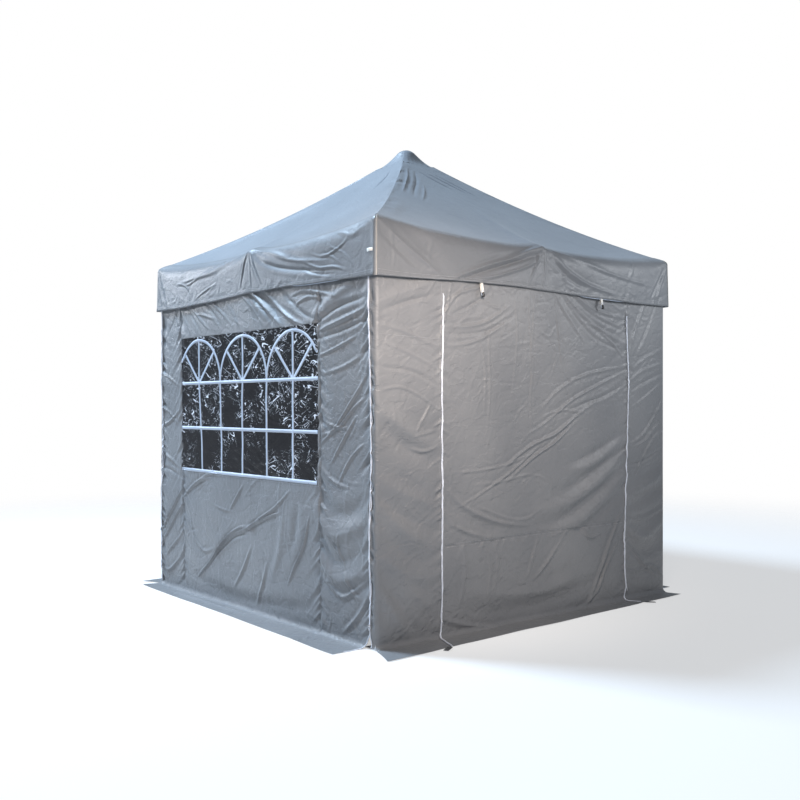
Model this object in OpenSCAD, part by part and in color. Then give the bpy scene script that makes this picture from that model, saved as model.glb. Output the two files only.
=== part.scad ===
// Folding gazebo with four zipped side walls, shown standing and fully opened out.
// Frame: four two-part legs, a slider on each, two crossed pairs of bars along every side,
// a connector at the middle of each side, and four struts that carry a hub and a mast.
// Cover: four roof gores and an apex cap, four valances, four walls with ground skirts,
// a roll-up door in the front wall and a barred clear window in the left and right walls.
//
// Row axes, in mm: +Z up, ground at Z = 0, the door wall faces -Y, a window wall faces -X.
// A side is drawn in its own frame: x along the side, y inwards from the leg centres, z up.

/* [Plan] */
// Length of each side, across the outer faces of the walls
side_len = 2500; // [2000:10:3000]
// Distance of the leg centres inside the walls
leg_in = 35; // [30:1:60]
// Width of the skirt that lies on the ground
skirt_w = 210; // [0:5:300]
// How far the front and rear skirts run past the corners
skirt_past = 86; // [0:1:200]

/* [Heights] */
// Height of the roof's lower edge
eave_h = 2250; // [1900:10:2500]
// Height of the seam under the apex cap
seam_h = 2930; // [2600:10:3200]
// Overall height
apex_h = 3050; // [2700:10:3300]
// Height of the valance's hem
hem_h = 1950; // [1700:10:2200]
// Height of the fixed pivots at the leg tops
pivot_h = 2190; // [1850:5:2460]
// Height of the top edge of the walls, behind the valance
wall_top = 2200; // [1800:5:2400]

/* [Legs] */
// Width of the outer leg tube
leg_w = 32; // [25:1:45]
// Width of the inner leg tube
inner_w = 26; // [20:1:38]
// Wall of every steel tube
tube_t = 1.2; // [0.8:0.1:2]
// Bottom end of the outer leg
outer_z0 = 897; // [700:1:1200]
// Top end of the inner leg
inner_z1 = 1050; // [900:5:1400]
// Width of the plastic blocks on the legs
block_w = 46; // [38:1:60]
// Foot plate, side of the square
foot_w = 90; // [70:1:140]
// Foot plate thickness
foot_t = 6; // [3:0.5:10]
// Radius of a ground peg hole
peg_r = 6; // [4:0.5:9]
// Distance between the two peg holes of a foot
peg_gap = 60; // [40:1:90]

/* [Bars] */
// Depth of a bar
bar_w = 24; // [16:1:32]
// Thickness of a bar
bar_t = 12; // [8:0.5:16]
// Gap between the two layers of bars
layer_gap = 2; // [1:0.1:4]
// Fall of every bar from end to end, frame open
bar_fall = 350; // [250:5:450]
// Distance from a leg centre to the bar pivots beside it
pivot_off = 70; // [55:1:90]
// Radius of the pivot pins
pin_r = 3; // [2.5:0.1:5]
// Radial play of a pin in a bar
pin_play = 0.05; // [0.01:0.01:0.1]

/* [Mast] */
// Width of the mast tube
mast_w = 25; // [20:1:32]
// Half width of the roof opening under the apex cap
cap_r = 130; // [80:1:250]

/* [Cloth, door and windows] */
// Thickness that stands for the cloth
cloth = 2; // [0.5:0.1:3]
// Width of the roll-up door
door_w = 1610; // [900:10:1800]
// Middle of the door, to the right of the wall's middle
door_x = 20; // [-100:5:100]
// Height of the door's top seam
door_top = 1872; // [1600:1:1950]
// Width of a window
win_w = 1640; // [800:10:1800]
// Middle of a window, behind the wall's middle
win_x = 90; // [-150:5:150]
// Height of a window's sill
win_z0 = 825; // [600:5:1200]
// Height of a window's head
win_z1 = 1728; // [1300:1:1850]
// Height of the lower window rail
win_rail = 1120; // [900:5:1300]
// Height of the rail that the window's arches stand on
win_arch = 1420; // [1200:5:1600]
// Width of a window column, and radius of an arch
win_col = 284; // [200:1:340]
// Width of the printed window bars
win_bar = 18; // [8:1:30]

/* [Hidden] */
half = side_len / 2;                       // centre to the walls' outer faces
leg_r = half - leg_in;                     // centre to the leg centres
span = leg_r - pivot_off;                  // plan length of a bar, frame open
bar_len = sqrt(span * span + bar_fall * bar_fall);
bar_a = atan2(bar_fall, span);             // slope of a bar, frame open
slide_h = pivot_h - bar_fall;              // height of the sliders and the lower pivots
strut_in = 35;                             // strut pivots: inside the side, and off the hub's axis
out0 = layer_gap / 2;                      // a layer's near face
out1 = out0 + bar_t;                       // a layer's far face
roof_a = atan2(seam_h - eave_h, half - cap_r);
fold_in = 60;                              // the strip of roof above the valance
tip_r = 45;                                // half width of the cap's flat tip
dome_r = 150;                              // radius of the dome over the tip
leg_top = eave_h - 10;                     // top end of the outer leg tube
tip_h = apex_h - 7;
$fn = 48;

FL = "front_left";
FR = "front_right";
RL = "rear_left";
RR = "rear_right";
SIDES = ["front", "right", "left", "rear"];
CORNERS = [FL, FR, RL, RR];

// ---------- helpers ----------

module box(a, b) translate(a) cube(b - a);

// a side's frame set in the row
module on_side(s) {
  m = s == "front" ? [[1, 0, 0, 0], [0, 1, 0, -leg_r], [0, 0, 1, 0]]
    : s == "right" ? [[0, -1, 0, leg_r], [1, 0, 0, 0], [0, 0, 1, 0]]
    : s == "left" ? [[0, 1, 0, -leg_r], [1, 0, 0, 0], [0, 0, 1, 0]]
    : [[1, 0, 0, 0], [0, -1, 0, leg_r], [0, 0, 1, 0]];
  multmatrix(m) children();
}

// a corner's frame set in the row: x and y run inwards from the leg's centre
module on_corner(c) {
  kx = (c == FL || c == RL) ? -1 : 1;
  ky = (c == FL || c == FR) ? -1 : 1;
  multmatrix([[-kx, 0, 0, kx * leg_r], [0, -ky, 0, ky * leg_r], [0, 0, 1, 0]]) children();
}

// a round bar along y, through x = 0 and z = 0
module y_rod(r, y0, y1) translate([0, y0, 0]) rotate([-90, 0, 0]) cylinder(r = r, h = y1 - y0);

// a profile in x and z, from y0 to y1
module xz(y0, y1) translate([0, y1, 0]) rotate([90, 0, 0]) linear_extrude(y1 - y0) children();

module square_tube(w, t, z0, z1) difference() {
  box([-w / 2, -w / 2, z0], [w / 2, w / 2, z1]);
  box([-w / 2 + t, -w / 2 + t, z0 - 1], [w / 2 - t, w / 2 - t, z1 + 1]);
}

// the sides that meet at a corner, and the end of each: -1 its first leg, +1 its second
function meets(c) = c == FL ? [["front", -1], ["left", -1]]
  : c == FR ? [["front", 1], ["right", -1]]
  : c == RL ? [["left", 1], ["rear", -1]]
  : [["right", 1], ["rear", 1]];

// ---------- frame ----------

// the lug that holds a bar: from the leg's centre along +x, in the outer layer, pin inwards
module lug() {
  box([block_w / 2 - 3, -out1, -bar_w / 2], [pivot_off, -out0, bar_w / 2]);
  translate([pivot_off, 0, 0]) {
    y_rod(bar_w / 2, -out1, -out0);
    y_rod(pin_r, -out1, out1 + 1);
    y_rod(pin_r + 2.5, out1 + 0.4, out1 + 2.4);
  }
}

// lay: -1 puts the lug in the outer layer, 1 in the inner layer
module lugs(c, turn, z) for (m = meets(c)) on_side(m[0])
  translate([m[1] * leg_r, 0, z])
    mirror([m[1] > 0 ? 1 : 0, 0, 0])
      mirror([0, m[1] * turn > 0 ? 1 : 0, 0]) lug();

module outer_leg(c) {
  color("#c9ccd0") on_corner(c) square_tube(leg_w, tube_t, outer_z0, leg_top);
  // the corner bracket, a cap over the leg's top end
  color("#2b2c2e") union() {
    on_corner(c) difference() {
      box([-block_w / 2, -block_w / 2, pivot_h - 25], [block_w / 2, block_w / 2, leg_top + 8]);
      box([-1, -1, 0] * (leg_w / 2 + 0.1) + [0, 0, pivot_h - 26],
          [1, 1, 0] * (leg_w / 2 + 0.1) + [0, 0, leg_top + 0.2]);
    }
    lugs(c, 1, pivot_h);
  }
  // the collar that guides the inner leg
  color("#2b2c2e") on_corner(c) difference() {
    box([-block_w / 2, -block_w / 2, outer_z0 - 7], [block_w / 2, block_w / 2, outer_z0 + 53]);
    box([-1, -1, 0] * (inner_w / 2 + 0.6) + [0, 0, outer_z0 - 8],
        [1, 1, 0] * (inner_w / 2 + 0.6) + [0, 0, outer_z0 + 54]);
    box([-1, -1, 0] * (leg_w / 2 + 0.1) + [0, 0, outer_z0 - 0.5],
        [1, 1, 0] * (leg_w / 2 + 0.1) + [0, 0, outer_z0 + 54]);
  }
}

module inner_leg(c) on_corner(c) {
  color("#c9ccd0") square_tube(inner_w, tube_t, foot_t + 2, inner_z1);
  color("#232425") difference() {
    union() {
      box([-25, -25, 0], [foot_w - 25, foot_w - 25, foot_t]);
      box([-inner_w / 2 - 4, -inner_w / 2 - 4, 0], [inner_w / 2 + 4, inner_w / 2 + 4, 40]);
    }
    box([-inner_w / 2 - 0.1, -inner_w / 2 - 0.1, foot_t + 1.8],
        [inner_w / 2 + 0.1, inner_w / 2 + 0.1, 41]);
    for (y = [-10, peg_gap - 10]) translate([45, y, -1]) cylinder(r = peg_r, h = foot_t + 2);
  }
}

module slider(c) color("#2b2c2e") union() {
  on_corner(c) difference() {
    box([-block_w / 2, -block_w / 2, slide_h - 25], [block_w / 2, block_w / 2, slide_h + 25]);
    box([-1, -1, 0] * (leg_w / 2 + 0.5) + [0, 0, slide_h - 26],
        [1, 1, 0] * (leg_w / 2 + 0.5) + [0, 0, slide_h + 26]);
  }
  lugs(c, -1, slide_h);
}

// a hollow bar along +x from its first pivot, in the inner layer, with pin holes at xs
module bar(xs) difference() {
  xz(out0, out1) {
    translate([0, -bar_w / 2]) square([bar_len, bar_w]);
    for (x = [0, bar_len]) translate([x, 0]) circle(r = bar_w / 2);
  }
  box([-bar_w, out0 + tube_t, -bar_w / 2 + tube_t],
      [bar_len + bar_w, out1 - tube_t, bar_w / 2 - tube_t]);
  for (x = xs) translate([x, 0, 0]) y_rod(pin_r + pin_play, out0 - 1, out1 + 1);
}

// a rivet fixed in an inner-layer bar, with its far head outside the other layer
module rivet() {
  y_rod(pin_r, -out1 - 1, out1);
  y_rod(pin_r + 2.5, out1 - 0.5, out1 + 1.5);
  y_rod(pin_r + 2.5, -out1 - 2.4, -out1 - 0.4);
}

// a1: first leg top to lower mid pivot. a2: first slider to mid connector.
// b1: lower mid pivot to second leg top. b2: mid connector to second slider.
module side_bar(s, b) color("#c9ccd0") on_side(s) {
  if (b == "a1") translate([-span, 0, pivot_h]) rotate([0, bar_a, 0]) {
    bar([0]);
    for (x = [bar_len / 2, bar_len]) translate([x, 0, 0]) rivet();
  }
  if (b == "a2") translate([-span, 0, slide_h]) rotate([0, -bar_a, 0])
    mirror([0, 1, 0]) bar([0, bar_len / 2, bar_len]);
  if (b == "b1") translate([0, 0, slide_h]) rotate([0, -bar_a, 0]) mirror([0, 1, 0]) {
    bar([0, bar_len]);
    translate([bar_len / 2, 0, 0]) rivet();
  }
  if (b == "b2") translate([0, 0, pivot_h]) rotate([0, bar_a, 0])
    bar([0, bar_len / 2, bar_len]);
}

// the connector at the middle of a side: a slot for two bars, a clevis for the strut
module mid(s) color("#2b2c2e") on_side(s) translate([0, 0, pivot_h]) {
  c0 = out1 + 1.5;
  c1 = c0 + 4;
  for (k = [0, 1]) mirror([0, k, 0]) box([-22, c0, -16], [22, c1, 20]);
  box([-22, -c1, 14], [22, c1, 20]);
  intersection() {
    translate([0, 0, -14]) sphere(r = 40);
    translate([0, 0, 19]) cylinder(r = 21, h = 30);
  }
  y_rod(pin_r, -c1, c1);
  for (k = [0, 1]) mirror([k, 0, 0]) {
    box([bar_t / 2 + 0.5, c0, -12], [bar_t / 2 + 6.5, strut_in, 12]);
    translate([0, strut_in, 0]) rotate([0, 0, -90]) y_rod(12, bar_t / 2 + 0.5, bar_t / 2 + 6.5);
  }
  translate([0, strut_in, 0]) rotate([0, 0, -90]) y_rod(pin_r, -bar_t / 2 - 6.5, bar_t / 2 + 6.5);
}

module strut(s) color("#c9ccd0") on_side(s)
  translate([0, strut_in, pivot_h]) rotate([0, 0, 90]) rotate([0, bar_a, 0])
    translate([0, -(out0 + out1) / 2, 0]) bar([0, bar_len]);

module mast_hub() color("#2b2c2e") translate([0, 0, slide_h]) {
  difference() {
    box([-17.5, -17.5, -22], [17.5, 17.5, 60]);
    box([-mast_w / 2 - 0.1, -mast_w / 2 - 0.1, -14], [mast_w / 2 + 0.1, mast_w / 2 + 0.1, 61]);
  }
  for (a = [0 : 90 : 270]) rotate([0, 0, a]) {
    for (k = [0, 1]) mirror([0, k, 0]) {
      box([16, bar_t / 2 + 0.5, -12], [strut_in, bar_t / 2 + 6.5, 12]);
      translate([strut_in, 0, 0]) y_rod(12, bar_t / 2 + 0.5, bar_t / 2 + 6.5);
    }
    translate([strut_in, 0, 0]) y_rod(pin_r, -bar_t / 2 - 6.5, bar_t / 2 + 6.5);
  }
}

module mast() {
  color("#c9ccd0") square_tube(mast_w, tube_t + 0.3, slide_h - 13.5, tip_h - 53);
  // the round head that the apex cap rests over
  color("#2b2c2e") difference() {
    union() {
      translate([0, 0, tip_h - 58]) cylinder(r = 30, h = 18);
      intersection() {
        translate([0, 0, tip_h - 40]) sphere(r = 30);
        translate([0, 0, tip_h - 42]) cylinder(r = 31, h = 40);
      }
    }
    box([-mast_w / 2 - 0.1, -mast_w / 2 - 0.1, tip_h - 59],
        [mast_w / 2 + 0.1, mast_w / 2 + 0.1, tip_h - 52]);
  }
}

// ---------- cover ----------

// a strip of one roof slope between two distances from the centre, lip past the hip lines
module slope(a, r_eave, z_eave, r0, r1, lip) intersection() {
  translate([0, leg_r - r_eave, z_eave]) rotate([a, 0, 0])
    box([-2 * half, -200, -cloth], [2 * half, 2 * half, 0]);
  linear_extrude(2 * apex_h) polygon([
    [-r1 - lip, leg_r - r1], [r1 + lip, leg_r - r1],
    [r0 + lip, leg_r - r0], [-r0 - lip, leg_r - r0]
  ]);
}

module roof(s) color("#8b8f96") on_side(s)
  slope(roof_a, half, eave_h, cap_r + 2, half - fold_in - 0.5, -1);

module apex_cap() color("#8b8f96") {
  cap_a = atan2(tip_h - seam_h, cap_r - tip_r);
  for (s = SIDES) on_side(s) slope(cap_a, cap_r, seam_h, tip_r - 1, cap_r, 0.02);
  box([-tip_r - 1, -tip_r - 1, tip_h - cloth], [tip_r + 1, tip_r + 1, tip_h]);
  intersection() {
    translate([0, 0, apex_h - dome_r]) sphere(r = dome_r);
    translate([0, 0, tip_h - 1]) cylinder(r = tip_r + 1, h = 20);
  }
}

module valance(s) color("#8b8f96") on_side(s) {
  box([-half - 3.5, -leg_in - 6, hem_h], [half + 3.5, -leg_in - 4, eave_h - 2.5]);
  slope(roof_a, half, eave_h, half - fold_in + 0.5, half + 5.5, -2);
}

// one flat piece of wall cloth
module cloth_panel(x0, x1, z0, z1) box([x0, -leg_in, z0], [x1, -leg_in + cloth, z1]);

// a strip of skirt on the ground
module skirt(x0, x1) box([x0, -leg_in - skirt_w, 0], [x1, -leg_in - 0.4, cloth]);

// a zip's row of teeth on the face of a wall
module zip_row(x0, x1, z0, z1) box([x0, -leg_in - 1, z0], [x1, -leg_in + 0.5, z1]);

// a tie-back for the rolled door: a webbing loop with a cord lock
module tie_back() {
  box([-4, -leg_in - 2, door_top + 23], [4, -leg_in + 0.5, door_top + 73]);
  translate([0, -leg_in - 7, door_top + 18]) cylinder(r = 6, h = 22);
}

edge = half - 2.5;                         // a wall's side edges

module wall_front() color("#7d7d7e") on_side("front") {
  for (k = [-1, 1]) mirror([k < 0 ? 1 : 0, 0, 0]) {
    x = door_w / 2 + k * door_x;
    cloth_panel(x, edge, 0, wall_top);
    zip_row(x + 0.2, x + 7, 5, door_top - 20);
    skirt(x + 0.4, half + skirt_past);
  }
  translate([door_x, 0, 0]) {
    cloth_panel(-door_w / 2 + 0.4, door_w / 2 - 0.4, door_top + 1.5, wall_top);
    for (x = [-530, 530]) translate([x, 0, 0]) tie_back();
  }
}

module wall_rear() color("#7d7d7e") on_side("rear") {
  cloth_panel(-edge, edge, 0, wall_top);
  skirt(-half - skirt_past, half + skirt_past);
}

module window_wall(s) color("#7d7d7e") on_side(s) {
  for (k = [-1, 1]) mirror([k < 0 ? 1 : 0, 0, 0]) {
    cloth_panel(win_w / 2 + k * win_x, edge, 0, wall_top);
    zip_row(edge - 48.5, edge - 38.5, 100, wall_top - 50);
  }
  translate([win_x, 0, 0]) {
    cloth_panel(-win_w / 2 + 0.4, win_w / 2 - 0.4, 0, win_z0);
    cloth_panel(-win_w / 2 + 0.4, win_w / 2 - 0.4, win_z1, wall_top);
  }
  skirt(-half, half);
}

// clear sheet with printed bars: rails, verticals and three fan-topped arches
module window(s) color("#dfe6ea", 0.45) on_side(s) translate([win_x, 0, 0]) {
  w = win_w / 2 - 0.8;
  y0 = -leg_in - 0.1;
  y1 = -leg_in + cloth - 0.1;
  box([-w, -leg_in + 0.5, win_z0 + 0.4], [w, -leg_in + 1.5, win_z1 - 0.4]);
  intersection() {
    union() {
      for (i = [-2 : 2])
        box([i * win_col - win_bar / 2, y0, win_z0 + 0.4],
            [i * win_col + win_bar / 2, y1, i % 2 == 0 ? win_arch + win_col : win_arch]);
      for (z = [win_z0 + 11.4, win_rail, win_arch]) box([-w, y0, z - 11], [w, y1, z + 11]);
      for (i = [-2 : 2 : 2]) translate([i * win_col, 0, win_arch]) {
        intersection() {
          difference() {
            y_rod(win_col + 10, y0, y1);
            y_rod(win_col - 10, y0 - 1, y1 + 1);
          }
          box([-win_col - 10, y0, 0], [win_col + 10, y1, win_col + 10]);
        }
        for (a = [-45, 45]) rotate([0, a, 0])
          box([-win_bar / 2, y0, 0], [win_bar / 2, y1, win_col - 2]);
      }
    }
    box([-w, y0, win_z0 + 0.4], [w, y1, win_z1 - 0.4]);
  }
}

module door_panel() color("#7d7d7e") on_side("front") translate([door_x, 0, 0]) {
  cloth_panel(-door_w / 2 + 0.8, door_w / 2 - 0.8, 3, door_top - 1.5);
  skirt(-door_w / 2 + 0.4, door_w / 2 - 0.4);
}

// a zip slider with its pull tab, at z0 over the teeth
module zip_pull(x, z0) color("#303133") translate([x, -leg_in - 6, z0]) {
  box([-5, 0, 18], [5, 4.4, 32]);
  box([-2.5, 0.4, 0], [2.5, 2.4, 20]);
}

module corner_zip_pull(c) on_side(c == FL || c == RL ? "left" : "right")
  mirror([c == FL || c == FR ? 1 : 0, 0, 0]) zip_pull(edge - 43.5, 100);

// ---------- nodes ----------

outer_leg(FL);  // leg_front_left
outer_leg(FR);  // leg_front_right
outer_leg(RL);  // leg_rear_left
outer_leg(RR);  // leg_rear_right
inner_leg(FL);  // inner_leg_front_left
inner_leg(FR);  // inner_leg_front_right
inner_leg(RL);  // inner_leg_rear_left
inner_leg(RR);  // inner_leg_rear_right
slider(FL);  // slider_front_left
slider(FR);  // slider_front_right
slider(RL);  // slider_rear_left
slider(RR);  // slider_rear_right
side_bar("front", "a1");  // front_bar_a1
side_bar("front", "a2");  // front_bar_a2
side_bar("front", "b1");  // front_bar_b1
side_bar("front", "b2");  // front_bar_b2
side_bar("right", "a1");  // right_bar_a1
side_bar("right", "a2");  // right_bar_a2
side_bar("right", "b1");  // right_bar_b1
side_bar("right", "b2");  // right_bar_b2
side_bar("left", "a1");  // left_bar_a1
side_bar("left", "a2");  // left_bar_a2
side_bar("left", "b1");  // left_bar_b1
side_bar("left", "b2");  // left_bar_b2
side_bar("rear", "a1");  // rear_bar_a1
side_bar("rear", "a2");  // rear_bar_a2
side_bar("rear", "b1");  // rear_bar_b1
side_bar("rear", "b2");  // rear_bar_b2
mid("front");  // mid_front
mid("right");  // mid_right
mid("left");  // mid_left
mid("rear");  // mid_rear
strut("front");  // strut_front
strut("right");  // strut_right
strut("left");  // strut_left
strut("rear");  // strut_rear
mast_hub();
mast();
apex_cap();
roof("front");  // roof_front
roof("right");  // roof_right
roof("left");  // roof_left
roof("rear");  // roof_rear
valance("front");  // valance_front
valance("right");  // valance_right
valance("left");  // valance_left
valance("rear");  // valance_rear
wall_front();
window_wall("right");  // wall_right
window_wall("left");  // wall_left
wall_rear();
door_panel();
window("left");  // window_left
window("right");  // window_right
on_side("front") zip_pull(door_x - door_w / 2 - 3.6, 60);  // door_zip_pull_left
on_side("front") zip_pull(door_x + door_w / 2 + 3.6, 60);  // door_zip_pull_right
corner_zip_pull(FL);  // corner_zip_pull_front_left
corner_zip_pull(FR);  // corner_zip_pull_front_right
corner_zip_pull(RL);  // corner_zip_pull_rear_left
corner_zip_pull(RR);  // corner_zip_pull_rear_right
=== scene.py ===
"""Looks of the folding gazebo tent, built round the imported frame.

Every cloth piece is a dense grid laid on the tent's own planes and pushed in or out by named folds,
seam puckers and billow. A side's coordinates are s (along the side), out (away from the centre)
and z; below the bend at the ground z goes on, negative, along the skirt.
"""
import math

import bpy
import numpy as np
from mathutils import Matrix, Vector


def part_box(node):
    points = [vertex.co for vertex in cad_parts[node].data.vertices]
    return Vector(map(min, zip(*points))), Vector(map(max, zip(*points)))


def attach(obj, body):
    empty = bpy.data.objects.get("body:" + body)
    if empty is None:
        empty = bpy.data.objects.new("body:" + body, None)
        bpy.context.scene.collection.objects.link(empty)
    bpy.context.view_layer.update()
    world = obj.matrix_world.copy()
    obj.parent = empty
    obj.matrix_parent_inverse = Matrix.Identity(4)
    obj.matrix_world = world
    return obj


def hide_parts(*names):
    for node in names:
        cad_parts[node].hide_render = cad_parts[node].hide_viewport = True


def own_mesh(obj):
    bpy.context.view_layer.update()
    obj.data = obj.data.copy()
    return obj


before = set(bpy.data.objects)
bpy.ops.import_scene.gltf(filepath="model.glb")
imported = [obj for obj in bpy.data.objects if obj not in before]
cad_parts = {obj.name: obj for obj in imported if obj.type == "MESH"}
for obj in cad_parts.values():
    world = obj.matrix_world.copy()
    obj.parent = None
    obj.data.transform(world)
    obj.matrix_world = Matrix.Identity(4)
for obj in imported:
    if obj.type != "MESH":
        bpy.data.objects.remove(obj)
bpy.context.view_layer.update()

# ---------------------------------------------------------------- sizes, in metres

HALF = 1.25  # half the wall box, to the outer face of the walls
WALL_TOP = 2.06  # hidden behind the valance, below the sagging eave
FLOOR_GAP = 0.0025  # lowest height of any cloth
BEND = 0.034  # radius of the bend from wall to skirt
CORNER_ROUND = 0.028  # radius of the walls' corners

DOOR = (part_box("door_panel")[0].x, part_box("door_panel")[1].x)
DOOR_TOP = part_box("door_panel")[1].z
WINDOW_S = (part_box("window_left")[0].y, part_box("window_left")[1].y)
WINDOW_Z = (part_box("window_left")[0].z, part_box("window_left")[1].z)
CORNER_ZIP = 1.204  # distance of the corner zips from the middle of their wall
ZIP_HALF = 0.0024  # half the distance between a zip's two rows

VALANCE_OUT = 1.266
VALANCE_ROUND = 0.016  # radius of the canopy's corners
HEM_Z = 1.95
EAVE_Z = 2.25
ROLL = 0.085  # height of the soft turn from valance to roof between its supports
TIGHT_ROLL = 0.030  # the same over the corners and the side connectors
GORE_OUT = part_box("roof_front")[0].y * -1
CAP_OUT = 0.135
CAP_Z = 2.93
ROOF_TAN = (CAP_Z - EAVE_Z) / (HALF - CAP_OUT)

SIDES = {
    "front": lambda s, out: (s, -out),
    "right": lambda s, out: (out, s),
    "left": lambda s, out: (-out, s),
    "rear": lambda s, out: (s, out),
}
FACES_IN = ("left", "rear")  # sides whose grids would otherwise face the inside


# ---------------------------------------------------------------- camera, floor and light


def make_camera():
    data = bpy.data.cameras.new("camera")
    data.lens = 43.245
    data.sensor_width = 36
    data.shift_y = 0.00875
    camera = bpy.data.objects.new("camera", data)
    camera.location = (-4.30, -5.15, 1.26)
    camera.rotation_euler = (math.radians(90), 0, math.radians(-39.5))
    bpy.context.scene.collection.objects.link(camera)
    bpy.context.scene.camera = camera


def aim(obj, target):
    away = Vector(target) - obj.location
    obj.rotation_euler = away.to_track_quat("-Z", "Y").to_euler()


def lamp(name, kind, place, target, power, colour):
    data = bpy.data.lights.new(name, kind)
    data.energy = power
    data.color = colour
    light = bpy.data.objects.new(name, data)
    light.location = place
    aim(light, target)
    bpy.context.scene.collection.objects.link(light)
    return light


def area_light(name, place, target, size, power, colour):
    light = lamp(name, "AREA", place, target, power, colour)
    light.data.shape = "DISK"
    light.data.size = size
    light.visible_camera = False


def spot_light(name, place, target, spread, power, colour):
    light = lamp(name, "SPOT", place, target, power, colour)
    light.data.spot_size = math.radians(spread)
    light.data.spot_blend = 1.0
    light.data.shadow_soft_size = 0.35


def make_lights():
    area_light("sky_left", (-3.4, 3.2, 7.9), (0, 0, 2.4), 2.0, 1300, (0.60, 0.79, 1.0))
    area_light("rake_left", (-3.0, 4.8, 3.4), (-1.25, 0.0, 1.1), 0.6, 78, (0.88, 0.93, 1.0))
    spot_light("top_right", (1.90, -3.00, 2.70), (0.85, -1.25, 1.95), 62, 150, (0.93, 0.96, 1.0))
    spot_light("warm_front", (-1.50, -2.80, 2.35), (-0.75, -1.25, 1.40), 78, 290, (1.0, 0.88, 0.79))


def make_world():
    """White to the eye, dimmer and a little blue as a light."""
    world = bpy.data.worlds.new("studio")
    bpy.context.scene.world = world
    world.use_nodes = True
    nodes, links = world.node_tree.nodes, world.node_tree.links
    nodes.clear()
    seen = nodes.new("ShaderNodeBackground")
    seen.inputs["Color"].default_value = (1, 1, 1, 1)
    seen.inputs["Strength"].default_value = 1.0
    lit = nodes.new("ShaderNodeBackground")
    lit.inputs["Color"].default_value = (0.78, 0.88, 1.0, 1)
    lit.inputs["Strength"].default_value = 0.35
    path = nodes.new("ShaderNodeLightPath")
    mix = nodes.new("ShaderNodeMixShader")
    out = nodes.new("ShaderNodeOutputWorld")
    links.new(path.outputs["Is Camera Ray"], mix.inputs[0])
    links.new(lit.outputs[0], mix.inputs[1])
    links.new(seen.outputs[0], mix.inputs[2])
    links.new(mix.outputs[0], out.inputs["Surface"])


def make_floor():
    """A pale disc that fades into the white background."""
    radius, fade_from, fade_to, sides = 13.0, 3.0, 9.0, 48
    verts = [(0.0, 0.0, 0.0)]
    for i in range(sides):
        turn = 2 * math.pi * i / sides
        verts.append((radius * math.cos(turn), radius * math.sin(turn), 0.0))
    faces = [(0, 1 + i, 1 + (i + 1) % sides) for i in range(sides)]
    mesh = bpy.data.meshes.new("floor")
    mesh.from_pydata(verts, [], faces)
    floor = bpy.data.objects.new("floor", mesh)
    bpy.context.scene.collection.objects.link(floor)
    floor.location.z = -0.001
    mat = bpy.data.materials.new("pale_floor")
    mat.use_nodes = True
    nodes, links = mat.node_tree.nodes, mat.node_tree.links
    shader = nodes["Principled BSDF"]
    shader.inputs["Base Color"].default_value = (0.45, 0.45, 0.45, 1)
    shader.inputs["Roughness"].default_value = 0.9
    shader.inputs["Emission Color"].default_value = (1, 1, 1, 1)
    shader.inputs["Emission Strength"].default_value = 0.52
    spot = nodes.new("ShaderNodeTexCoord")
    length = nodes.new("ShaderNodeVectorMath")
    length.operation = "LENGTH"
    ramp = nodes.new("ShaderNodeMapRange")
    ramp.interpolation_type = "SMOOTHSTEP"
    ramp.inputs["From Min"].default_value = fade_from
    ramp.inputs["From Max"].default_value = fade_to
    clear = nodes.new("ShaderNodeBsdfTransparent")
    mix = nodes.new("ShaderNodeMixShader")
    links.new(spot.outputs["Object"], length.inputs[0])
    links.new(length.outputs["Value"], ramp.inputs["Value"])
    links.new(ramp.outputs["Result"], mix.inputs[0])
    links.new(shader.outputs[0], mix.inputs[1])
    links.new(clear.outputs[0], mix.inputs[2])
    links.new(mix.outputs[0], nodes["Material Output"].inputs["Surface"])
    mesh.materials.append(mat)


make_camera()
make_world()
make_lights()
make_floor()
bpy.context.scene.view_settings.view_transform = "Standard"


# ---------------------------------------------------------------- fields: folds, puckers, billow


def noise(a, b, seed):
    """Smooth noise from -1 to 1 on a unit lattice."""
    table = np.random.default_rng(seed).uniform(-1, 1, (97, 97))
    a, b = np.broadcast_arrays(np.asarray(a, float), np.asarray(b, float))
    ia, ib = np.floor(a).astype(int), np.floor(b).astype(int)
    fa, fb = a - ia, b - ib
    fa, fb = fa * fa * (3 - 2 * fa), fb * fb * (3 - 2 * fb)
    at = lambda i, j: table[i % 97, j % 97]
    low = at(ia, ib) * (1 - fa) + at(ia + 1, ib) * fa
    high = at(ia, ib + 1) * (1 - fa) + at(ia + 1, ib + 1) * fa
    return low * (1 - fb) + high * fb


def ease(x, low, high):
    """0 below low, 1 above high, smooth between."""
    t = np.clip((x - low) / (high - low), 0, 1)
    return t * t * (3 - 2 * t)


def smooth_line(points, per_span=6):
    """Points along a smooth curve through the given ones."""
    p = np.array(points, float)
    p = np.vstack([2 * p[0] - p[1], p, 2 * p[-1] - p[-2]])
    t = np.linspace(0, 1, per_span, endpoint=False)[:, None]
    spans = []
    for a, b, c, d in zip(p, p[1:], p[2:], p[3:]):
        curve = 2 * b + (c - a) * t + (2 * a - 5 * b + 4 * c - d) * t**2
        spans.append(0.5 * (curve + (3 * b - a - 3 * c + d) * t**3))
    return np.vstack(spans + [p[-2:-1]])


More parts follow.
